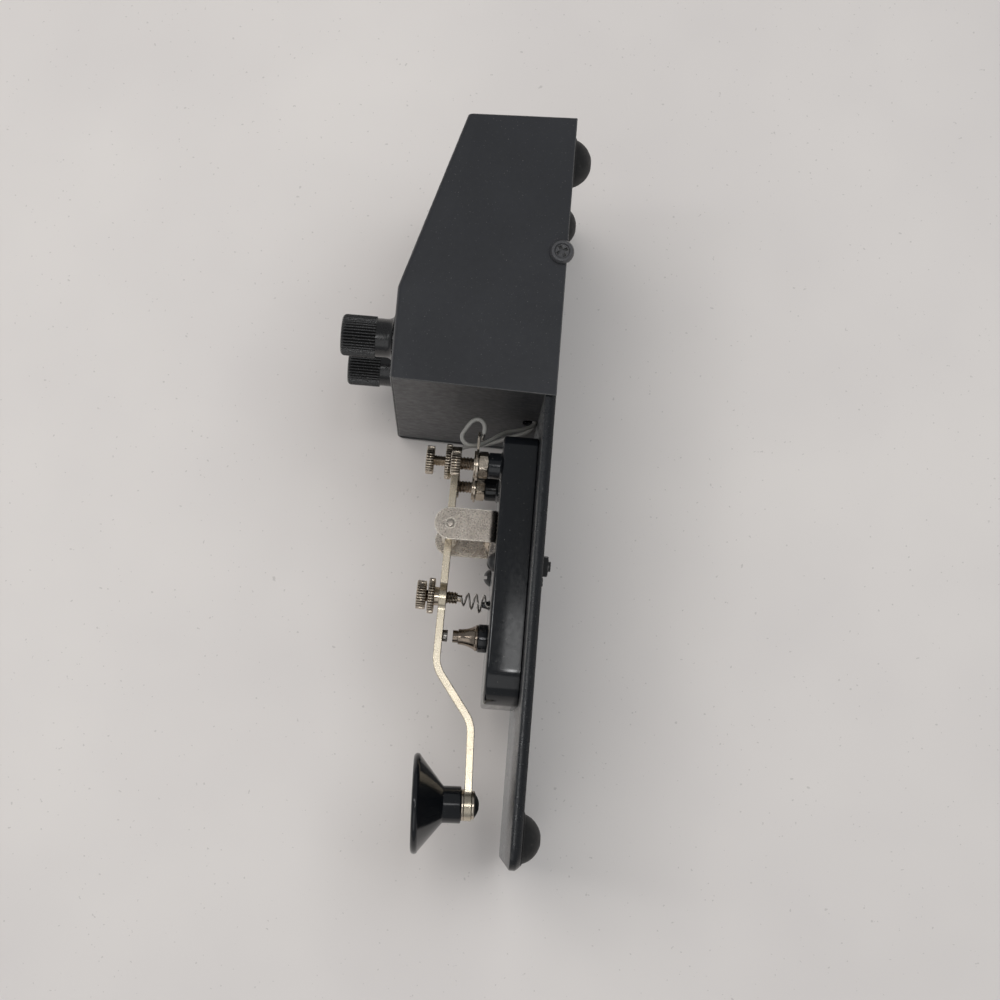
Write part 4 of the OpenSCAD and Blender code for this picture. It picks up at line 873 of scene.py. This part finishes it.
SIDE_SCREW_Y = CAB_Y + 42
SIDE_SCREW_Z = PLATE_Z + 1.6
SIDE_HEAD_H = 2
BRACKET_T = 1.4
BRACKET_SCREW_X = 12
KEY_NUT_AF = 5.8
KEY_NUT_T = 2.4
side_screw = crossed(head_d=7, head_h=SIDE_HEAD_H, shank_d=2.2, shank_l=9, turn=0.5)
side_screws = at_both(
    side_screw, lambda sx: shift(sx * BODY_W / 2, SIDE_SCREW_Y, SIDE_SCREW_Z) @ spun(sx * pi / 2, "Y"))
make("side_screws", side_screws, "instrument", "blackened_steel", look="rubbed_black")
key_screws = [moved(slotted(head_d=5.6, head_h=2.2, shank_d=3, shank_l=16.6, turn=0.9 + sx),
                    shift(sx * KEY_SCREW_X, KEY_SCREW_Y, KEY_TOP)) for sx in SIDES]
make("key_screws", joined(*key_screws), "instrument", "blackened_steel")
key_nuts = at_both(hexagon(KEY_NUT_AF, PLATE_Z - KEY_NUT_T, PLATE_Z),
                   lambda sx: shift(sx * KEY_SCREW_X, KEY_SCREW_Y, 0) @ spun(0.3 * sx, "Z"))
make("key_nuts", key_nuts, "instrument", "blackened_steel")
bracket_screws = [moved(slotted(head_d=7.2, head_h=2, shank_d=3.5, shank_l=6, turn=0.5 - sx),
                        shift(sx * BRACKET_SCREW_X, PIVOT_Y, KEY_TOP + BRACKET_T)) for sx in SIDES]
make("bracket_screws", joined(*bracket_screws), "instrument", "nickel")

# Control knobs
DIAL_LIFT = 0.6
DIAL_H = 16.0
DIAL_SKIRT_H = 5.6
DIAL_RIM_R = 7.2
DIAL_NECK_R = 5.75
DIAL_GRIP_R = 6.2
FLARE_FROM_Z = 0.5
FLARE_H = 2.1
FLARE_STEPS = 8
CROWN_R = 1.3
RIDGES = 40
RIDGE_DEPTH = 0.5
RIDGE_POINTS = 12
RIDGES_END_DEG = 60


def dial():
    """A ridged grip with an eased crown, on a bare neck that flares to a thin rim.

    Each row is a radius, a height and the share of the ridges' depth there."""
    rows = [(5.0, 0.0, 0), (DIAL_RIM_R - 0.1, 0.0, 0), (DIAL_RIM_R, 0.1, 0)]
    for k in range(FLARE_STEPS + 1):
        a = pi / 2 * k / FLARE_STEPS
        rows.append((DIAL_NECK_R + (DIAL_RIM_R - DIAL_NECK_R) * (1 - sin(a)),
                     FLARE_FROM_Z + FLARE_H * (1 - cos(a)), 0))
    rows += [(DIAL_NECK_R, DIAL_SKIRT_H, 0), (DIAL_GRIP_R, DIAL_SKIRT_H + 0.05, 1),
             (DIAL_GRIP_R, (DIAL_SKIRT_H + DIAL_H) / 2, 1)]
    for a in range(0, 91, 15):
        rows.append((DIAL_GRIP_R - CROWN_R * (1 - cos(radians(a))),
                     DIAL_H - CROWN_R + CROWN_R * sin(radians(a)), max(0, 1 - a / RIDGES_END_DEG)))
    rows += [(4.5, DIAL_H - 0.04, 0), (3.0, DIAL_H - 0.15, 0), (1.2, DIAL_H - 0.2, 0)]

    def radius(a, i):
        return rows[i][0] - RIDGE_DEPTH * rows[i][2] * (1 - abs(sin(RIDGES * a / 2)))
    return turned(radius, [r[1] for r in rows], RIDGES * RIDGE_POINTS)


for label, sx in (("volume", 1), ("tone", -1)):
    make(label + "_knob", moved(dial(), shift(sx * DIAL_X, DIAL_Y, CAB_TOP + DIAL_LIFT)), label + "_control",
         "dial_black", sharp=30)

# Nuts of the controls and the jacks
POT_NUT_AF = 8.8
PHONE_NUT_AF = 8.2
POWER_NUT_AF = 11
PANEL_NUT_T = 1.6
make("pot_nuts", at_both(
    hexagon(POT_NUT_AF, 0, PANEL_NUT_T), lambda sx: shift(sx * DIAL_X, DIAL_Y, CAB_TOP) @ spun(0.4, "Z")),
    "instrument", "nickel")
make("jack_nuts", joined(moved(hexagon(PHONE_NUT_AF, 0, PANEL_NUT_T), rear_frame(JACK_X)),
                         moved(hexagon(POWER_NUT_AF, 0, PANEL_NUT_T), rear_frame(-JACK_X))),
     "instrument", "nickel")

# Key base, with its two terminal bosses and the nub under the spring
KEY_FRONT_R = 10.8
KEY_REAR_R = 3.2
SPRING_Y = -31.3
NUB_TOP = KEY_TOP + 2.4
KEY_FOOT_Z = KEY_TOP - 0.05
BOSS_R = 3.85
# Inset and height at each level, from the eased foot to the rounded upper edge
KEY_LEVELS = [(0.3, PLATE_TOP), (0, PLATE_TOP + 0.3), (0, KEY_TOP - 0.95), (0.1, KEY_TOP - 0.55),
              (0.35, KEY_TOP - 0.22), (0.8, KEY_TOP)]


def key_outline(inset):
    x, y0, y1 = KEY_W / 2 - inset, KEY_FRONT_Y + inset, KEY_REAR_Y - inset
    front_r, rear_r = KEY_FRONT_R - inset, KEY_REAR_R - inset
    right = (arc(x - front_r, y0 + front_r, front_r, -90, 0, 14)
             + arc(x - rear_r, y1 - rear_r, rear_r, 0, 90, 8))
    return [(-px, py) for px, py in reversed(right)] + right


def both(geo):
    """The same geometry at the near and the far terminal."""
    return joined(*[moved(geo, shift(x, TERMINAL_Y, 0)) for x in (TERMINAL_X, -TERMINAL_X)])


boss = lathe(rounded([(BOSS_R + 0.75, KEY_FOOT_Z), (BOSS_R, KEY_TOP + 0.5), (BOSS_R, BOSS_Z), (2.0, BOSS_Z),
                      (0.0, BOSS_Z)], 0.35), 48)
nub = lathe(rounded([(1.7, KEY_FOOT_Z), (1.3, KEY_TOP + 0.4), (0.8, NUB_TOP), (0.0, NUB_TOP)], 0.3), 32)
make("key_base", joined(slab(key_outline, KEY_LEVELS), both(boss), moved(nub, shift(0, SPRING_Y, 0))),
     "instrument", "moulded_black")

# Bracket and pivot pin: a bent strip with round-topped uprights, and a groove round the pin's ends
BRACKET_W = 44.0
BRACKET_R = 4.7
BEND_R = 1.5
BRACKET_TIP = 0.25
TOP_STEPS = 12
BEND_STEPS = 8
PIVOT_H = PIVOT_Z - KEY_TOP
PIN_END = BRACKET_W / 2 + 0.3
PIN_R = 1.15
PIN_GROOVE_R = 1.45
PIN_GROOVE = 0.5


def bracket():
    """The strip's middle line runs down one side and up the other, with the half width at each station."""
    half = BRACKET_W / 2 - BRACKET_T / 2
    bend_z = BEND_R + BRACKET_T / 2
    outward = Vector((1, 0))
    line = []
    for k in range(TOP_STEPS + 1):
        a = radians(90 - 90 * k / TOP_STEPS)
        spot = Vector((half, PIVOT_H + BRACKET_R * sin(a)))
        line.append((spot, outward, max(BRACKET_R * cos(a), BRACKET_TIP)))
    line.append((Vector((half, bend_z)), outward, BRACKET_R))
    centre = Vector((half - BEND_R, bend_z))
    for k in range(1, BEND_STEPS + 1):
        a = radians(90 * k / BEND_STEPS)
        n = Vector((cos(a), -sin(a)))
        line.append((centre + BEND_R * n, n, BRACKET_R))
    left = [(Vector((-p.x, p.y)), Vector((-n.x, n.y)), h) for p, n, h in reversed(line)]
    rows = []
    for p, n, h in line + left:
        out, into = p + n * BRACKET_T / 2, p - n * BRACKET_T / 2
        rows.append([(out.x, -h, out.y), (out.x, h, out.y), (into.x, h, into.y), (into.x, -h, into.y)])
    return rings(rows)


grooves = [moved(rod(PIN_GROOVE_R, sx * BRACKET_W / 2 - PIN_GROOVE, sx * BRACKET_W / 2 + PIN_GROOVE, 36),
                 shift(0, 0, PIVOT_H) @ ACROSS) for sx in SIDES]
make("bracket", moved(cut(bracket(), grooves), shift(0, PIVOT_Y, KEY_TOP)), "instrument", "nickel",
     look="pitted_nickel", bevel=0.45, sharp=50, segments=4)
pin = moved(eased_rod(PIN_R, -PIN_END, PIN_END, 0.35, 40, 5), shift(0, PIVOT_Y, PIVOT_Z) @ ACROSS)
make("pivot_pin", pin, "instrument", "steel", look="pitted_nickel")

# Lever: a bent strap with round eyes, on a sleeve
STRAP_BEND_R = 10
STRAP_STEP = 0.4
STRAP_TIP = 0.3
SLEEVE_R = 2.55
SLEEVE_HALF = 20.3
REAR_BOSS_R = 4.9
REAR_BOSS_HALF = 1.45


def lever_line():
    """Points along the strap's middle, from its rear end round two bends to its front end."""
    tip_arm = KNOB_ARM + EYE_R
    ends = [Vector((GAP_ARM + EYE_R, STRAP_LIFT)),
            Vector((-tip_arm, TONGUE_W - (tip_arm - BEND2_ARM) * tan(TONGUE_DROP)))]
    corners = [ends[0], Vector((-BEND_ARM, STRAP_LIFT)), Vector((-BEND2_ARM, TONGUE_W)), ends[1]]
    pts = [ends[0]]
    for a, b, c in zip(corners, corners[1:], corners[2:]):
        d1, d2 = (a - b).normalized(), (c - b).normalized()
        cut_back = STRAP_BEND_R * tan((pi - d1.angle(d2)) / 2)
        pts += bent(b + d1 * cut_back, b, b + d2 * cut_back, 10)
    return pts + [ends[1]]


def lever_strap():
    """The strap, which widens to a round eye at each screw and ends in one."""
    pts = lever_line()
    fine = [pts[0]]
    for a, b in zip(pts, pts[1:]):
        steps = max(1, round((b - a).length / STRAP_STEP))
        fine += [a + (b - a) * k / steps for k in range(1, steps + 1)]
    eyes = [Vector((GAP_ARM, STRAP_LIFT)), Vector((-TENSION_ARM, STRAP_LIFT)), Vector((-KNOB_ARM, KNOB_W))]
    line = []
    for i, p in enumerate(fine):
        t = heading(fine, i)
        at_end = min(i, len(fine) - 1 - i) < EYE_R / STRAP_STEP
        half_widths = [STRAP_TIP if at_end else STRAP_HALF_W]
        for eye in eyes:
            d = (p - eye).length
            if d < EYE_R:
                half_widths.append(math.sqrt(EYE_R * EYE_R - d * d))
        line.append((p, Vector((-t.y, t.x)), max(half_widths)))
    return ribbon(line, STRAP_T)


sleeve = eased_rod(SLEEVE_R, -SLEEVE_HALF, SLEEVE_HALF, 0.3, 48)
rear_boss = eased_rod(REAR_BOSS_R, -REAR_BOSS_HALF, REAR_BOSS_HALF, 0.25, 64)
make("lever", moved(joined(
    lever_strap(), moved(sleeve, ACROSS), moved(rear_boss, shift(0, GAP_ARM, STRAP_LIFT))), LEVER),
    "lever", "nickel", look="strap_nickel", bevel=0.2, sharp=36)

# Contacts: a stud on the lever, and a bell-shaped lower contact with a flange and a tip
STUD_R = 1.825
STUD_Z = STRAP_FOOT - 1.5
CONTACT_GAP = 1.55
CONTACT_WASHER_R = 4.3
FLANGE_Z = KEY_TOP + 2.7
FLANGE_R = 4.0
FLANGE_T = 1
TIP_R = 1.9
TIP_L = 1.7
BELL_TOP_R = 2.35
BELL_FLARE = 1.35
BELL_CURVE = 2.2
BELL_STEPS = 12
stud = eased_rod(STUD_R, STUD_Z, STRAP_FOOT, 0.25, 40)
make("contact_stud", moved(stud, LEVER @ shift(0, -CONTACT_ARM, 0)), "lever", "steel")
tip_z = PIVOT_Z + CONTACT_ARM * sin(LEVER_TILT) + STUD_Z * cos(LEVER_TILT) - CONTACT_GAP
bell_h = tip_z - TIP_L - FLANGE_Z - FLANGE_T
bell = [(BELL_TOP_R + BELL_FLARE * (1 - k / BELL_STEPS) ** BELL_CURVE,
         FLANGE_Z + FLANGE_T + bell_h * k / BELL_STEPS) for k in range(BELL_STEPS + 1)]
flange = rounded([(0.0, FLANGE_Z), (FLANGE_R - 0.15, FLANGE_Z), (FLANGE_R, FLANGE_Z + 0.2),
                  (FLANGE_R, FLANGE_Z + 0.75)], 0.1) + [(FLANGE_R - 0.2, FLANGE_Z + 0.95)]
tip = rounded([(TIP_R + 0.3, tip_z - TIP_L + 0.04), (TIP_R, tip_z - TIP_L + 0.1), (TIP_R, tip_z),
               (0.0, tip_z)], 0.2)
AT_CONTACT = shift(0, PIVOT_Y - CONTACT_ARM, 0)
make("lower_contact", moved(lathe(flange + bell + tip, 64), AT_CONTACT), "instrument", "nickel",
     look="shaded_nickel")
make("contact_washer", moved(eased_rod(CONTACT_WASHER_R, KEY_TOP, FLANGE_Z, 0.3, 56), AT_CONTACT),
     "instrument", "moulded_black")

# Adjusting screws with their lock nuts, along the lever's own Z
HEAD_R = 4.4
HEAD_RIDGES = 32
LOCK_R = 5.45
LOCK_RIDGES = 38
SHOULDER_R = 2.85
LOCK_Z = STRAP_TOP + 1.3
LOCK_T = 2.1
HEAD_Z = LOCK_Z + LOCK_T + 0.5
HEAD_T = 3
FOOT_Z = STRAP_FOOT - 3.3
SPIGOT_R = 1.1
SPIGOT_L = 1.5
BOSS_TOP = STRAP_LIFT + REAR_BOSS_HALF
GAP_LOCK_T = 2
GAP_HEAD_Z = BOSS_TOP + GAP_LOCK_T + 3.3
GAP_HEAD_T = 2.6
REST_CLEAR = 0.12
GAP_TIP_Z = (KEY_TOP + REST_CLEAR - PIVOT_Z + GAP_ARM * sin(LEVER_TILT)) / cos(LEVER_TILT)
AT_TENSION = LEVER @ shift(0, -TENSION_ARM, 0)
AT_GAP = LEVER @ shift(0, GAP_ARM, 0)
tension = joined(
    knurled(HEAD_R, HEAD_Z, HEAD_Z + HEAD_T, HEAD_RIDGES), thread(1.95, FOOT_Z, HEAD_Z + LAP, pitch=0.9),
    eased_rod(SPIGOT_R, FOOT_Z - SPIGOT_L, FOOT_Z + LAP, 0.3, 28))
make("tension_screw", moved(tension, AT_TENSION), "tension_screw", "nickel")
lock = joined(knurled(LOCK_R, LOCK_Z, LOCK_Z + LOCK_T, LOCK_RIDGES),
              rod(SHOULDER_R, STRAP_TOP, LOCK_Z + LAP, 40))
make("tension_lock_nut", moved(lock, AT_TENSION), "lever", "nickel")
gap = joined(knurled(HEAD_R, GAP_HEAD_Z, GAP_HEAD_Z + GAP_HEAD_T, HEAD_RIDGES),
             thread(1.7, GAP_TIP_Z, GAP_HEAD_Z + LAP, pitch=0.8))
make("gap_screw", moved(gap, AT_GAP), "gap_screw", "nickel")
make("gap_lock_nut", moved(knurled(LOCK_R, BOSS_TOP, BOSS_TOP + GAP_LOCK_T, LOCK_RIDGES), AT_GAP), "lever",
     "nickel")

# Return spring: one conical coil with a short lead at each end
SPRING_WIRE = 0.6
SPRING_TURNS = 3
TURN_STEPS = 28
SPRING_FOOT_R = 2.9
SPRING_TOP_R = 1.75
SPRING_TOP_Z = PIVOT_Z + TENSION_ARM * sin(LEVER_TILT) + FOOT_Z * cos(LEVER_TILT) - REST_CLEAR
SPRING_TOP_Y = PIVOT_Y - TENSION_ARM * cos(LEVER_TILT) + FOOT_Z * sin(LEVER_TILT)
low_z, high_z = KEY_TOP + 2 * SPRING_WIRE, SPRING_TOP_Z - 2 * SPRING_WIRE
count = SPRING_TURNS * TURN_STEPS
coil = []
for i in range(count + 1):
    f, a = i / count, 2 * pi * i / TURN_STEPS
    r = SPRING_FOOT_R + (SPRING_TOP_R - SPRING_FOOT_R) * f
    coil.append(Vector((r * cos(a), SPRING_Y + (SPRING_TOP_Y - SPRING_Y) * f + r * sin(a),
                        low_z + (high_z - low_z) * f)))
first, last = coil[0], coil[-1]
foot_lead = [Vector((first.x, first.y - SPRING_WIRE, z)) for z in (KEY_TOP, KEY_TOP + SPRING_WIRE)]
top_lead = [Vector((last.x, last.y + SPRING_WIRE / 5, z)) for z in (last.z + SPRING_WIRE, SPRING_TOP_Z)]
spring = make("return_spring", tube(foot_lead + coil + top_lead, SPRING_WIRE / 2, 10), "instrument", "steel")
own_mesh(spring)

# Terminals, from the stud outward
TERMINAL_STUD_R = 2.0
TERMINAL_NUT_AF = 7.0
WASHER_R = 4.0
WASHER_HOLE_R = 2.1
WASHER_T = 0.6
TERMINAL_HOLE_R = 2.05
THUMB_R = 3.65
THUMB_RIDGES = 26
LUG_RING_R = 4.7
LUG_TAIL = 2.1
LUG_REACH = 9.8
LUG_HOLE_R = 1.05
LUG_HOLE_Y = 7.7
LUG_EASE = 0.1
WASHER_Z = LUG_Z + LUG_T
WASHER_TOP = WASHER_Z + WASHER_T


def lug_outline(inset):
    """A ring that runs out into a round-ended tail."""
    ring, half = LUG_RING_R - inset, LUG_TAIL - inset
    meet = math.degrees(math.acos(half / ring))
    return arc(0, LUG_REACH - LUG_TAIL, half, 0, 180, 16) + arc(0, 0, ring, 180 - meet, 360 + meet, 40)


stud_thread = thread(TERMINAL_STUD_R, BOSS_Z - 2, THUMB_Z + THUMB_T - 0.4, pitch=1.0, depth=0.4)
make("terminal_studs", both(stud_thread), "instrument", "nickel", look="shaded_nickel")
make("terminal_nuts", both(hexagon(TERMINAL_NUT_AF, BOSS_Z, LUG_Z)), "instrument", "nickel")
lug_levels = [(LUG_EASE, LUG_Z), (0, LUG_Z + LUG_EASE), (0, WASHER_Z - LUG_EASE), (LUG_EASE, WASHER_Z)]
lug_holes = [moved(rod(r, LUG_Z - PLATE_PAST, LUG_Z + PLATE_PAST, 28), shift(0, y, 0))
             for r, y in ((LUG_HOLE_R, LUG_HOLE_Y), (TERMINAL_HOLE_R, 0))]
make("solder_lugs", both(cut(slab(lug_outline, lug_levels), lug_holes)), "instrument", "nickel")
washer = rounded([(WASHER_HOLE_R, WASHER_Z), (WASHER_R, WASHER_Z), (WASHER_R, WASHER_TOP),
                  (WASHER_HOLE_R, WASHER_TOP)], 0.15)
make("terminal_washers", both(lathe(washer, 56)), "instrument", "nickel")
make("thumb_nuts", both(knurled(THUMB_R, THUMB_Z, THUMB_Z + THUMB_T, THUMB_RIDGES)), "instrument", "nickel")

# Key knob and its fixings, along the tongue's own Z
KNOB_SEAT = STRAP_T / 2 + 0.8
SCREW_SEAT = STRAP_T / 2 + 0.9
KNOB_WASHER_R = 4.75
SCREW_WASHER_R = 4.3
KNOB_NECK_R = 5.55
KNOB_NECK_H = 5.5
KNOB_FLARE_R = 14.1
KNOB_FLARE_H = 12.4
KNOB_RIM_R = 1.15
KNOB_DISH = [(12.6, 14.66), (10.4, 14.42), (7.5, 14.28), (4.0, 14.2), (0.0, 14.18)]
knob_profile = rounded([(0.0, 0.0), (KNOB_NECK_R, 0.0), (KNOB_NECK_R, KNOB_NECK_H),
                        (KNOB_FLARE_R, KNOB_FLARE_H)], 0.5)
knob_profile += arc(KNOB_FLARE_R - 0.25, KNOB_FLARE_H + KNOB_RIM_R, KNOB_RIM_R, -60, 96, 13) + KNOB_DISH
make("key_knob", moved(lathe(knob_profile, 128), TONGUE @ shift(0, 0, KNOB_SEAT)), "lever", "moulded_black")
knob_screw = slotted(head_d=7.3, head_h=1.4, shank_d=4, shank_l=6, turn=0.7)
make("knob_screw", moved(knob_screw, TONGUE @ shift(0, 0, -SCREW_SEAT) @ spun(pi, "X")), "lever",
     "blackened_steel")
washers = joined(eased_rod(KNOB_WASHER_R, STRAP_T / 2, KNOB_SEAT, 0.2, 56),
                 eased_rod(SCREW_WASHER_R, -SCREW_SEAT, -STRAP_T / 2, 0.2, 56))
make("knob_washers", moved(washers, TONGUE), "lever", "nickel")

# The CAD solids that stay in view take the materials of their slots
for row in frame["record"]["subparts"]:
    node = frame["nodes"][row["node"]]
    node.data.materials.clear()
    node.data.materials.append(MATERIALS[row["material_slot"]])

# Table, which is the surface the object lies against in the photograph
TABLE_GAP = 0.1
TABLE_X = -BODY_W / 2 - SIDE_HEAD_H - TABLE_GAP
TABLE_REACH = 900


def table_look():
    """A pale flecked surface, clear from behind so that the object shows from every side."""
    s = Shader("table")
    tone = s.mix(s.ramp(s.noise(12)), srgb(212, 207, 204), srgb(219, 214, 210))
    flecks = s.ramp(s.noise(750, 1), 0.74, 0.77)
    s.set(Base_Color=s.over(tone, srgb(150, 146, 142), flecks, 0.35), Roughness=0.6)
    clear = s.tree.nodes.new("ShaderNodeBsdfTransparent")
    geometry = s.tree.nodes.new("ShaderNodeNewGeometry")
    blend = s.tree.nodes.new("ShaderNodeMixShader")
    s.put(blend.inputs[0], geometry.outputs["Backfacing"])
    s.put(blend.inputs[1], s.bsdf.outputs[0])
    s.put(blend.inputs[2], clear.outputs[0])
    s.put(s.tree.nodes["Material Output"].inputs["Surface"], blend.outputs[0])
    return s.mat


table_mesh = bpy.data.meshes.new("table")
table_corners = [(y * TABLE_REACH, z * TABLE_REACH) for y, z in ((-1, -1), (1, -1), (1, 1), (-1, 1))]
table_mesh.from_pydata([Vector((TABLE_X, y, z)) * MM for y, z in table_corners], [], [[0, 1, 2, 3]])
table_mesh.materials.append(table_look())
table = placed("table", table_mesh)
table.visible_shadow = False

# Light, in metres and watts, with every lamp turned to the object's middle
MIDDLE = Vector((0, 0, 0.03))
WARM = (1, 0.97, 0.94)
COOL = (0.95, 0.98, 1)
SKY = (0.95, 0.97, 1, 1)
SKY_STRENGTH = 0.3


def lamp(name, at, size, power, color=(1, 1, 1), mirrored=True):
    """A soft lamp of the given breadth and height, seen in glossy surfaces only if mirrored."""
    data = bpy.data.lights.new(name, "AREA")
    data.shape = "RECTANGLE"
    data.size, data.size_y = size
    data.energy = power
    data.color = color
    obj = placed(name, data)
    obj.location = at
    obj.visible_glossy = mirrored
    obj.rotation_euler = (MIDDLE - Vector(at)).to_track_quat("-Z", "Y").to_euler()


lamp("left", at=(1.0, 0.22, 0.38), size=(0.55, 0.55), power=4.3, color=WARM, mirrored=False)
lamp("right", at=(1.0, 0.22, -0.27), size=(0.55, 0.55), power=3.3, color=COOL, mirrored=False)
lamp("axis", at=(1.0, -0.035, 0.0), size=(0.15, 0.26), power=0.32)
lamp("streak", at=(1.0, 0.03, 0.7), size=(0.08, 0.45), power=0.7)
lamp("glint", at=(0.95, -0.16, 0.05), size=(0.09, 0.09), power=0.3)
lamp("fore", at=(0.8, -0.8, 0.4), size=(0.9, 0.9), power=1.5)
lamp("far_side", at=(-0.8, 0.1, 0.6), size=(0.7, 0.7), power=7)
lamp("above", at=(-0.4, 0.1, 1.1), size=(0.7, 0.7), power=2)
world = bpy.data.worlds.new("studio")
world.use_nodes = True
world.node_tree.nodes["Background"].inputs["Color"].default_value = SKY
world.node_tree.nodes["Background"].inputs["Strength"].default_value = SKY_STRENGTH
bpy.context.scene.world = world
bpy.context.scene.view_settings.view_transform = "Standard"
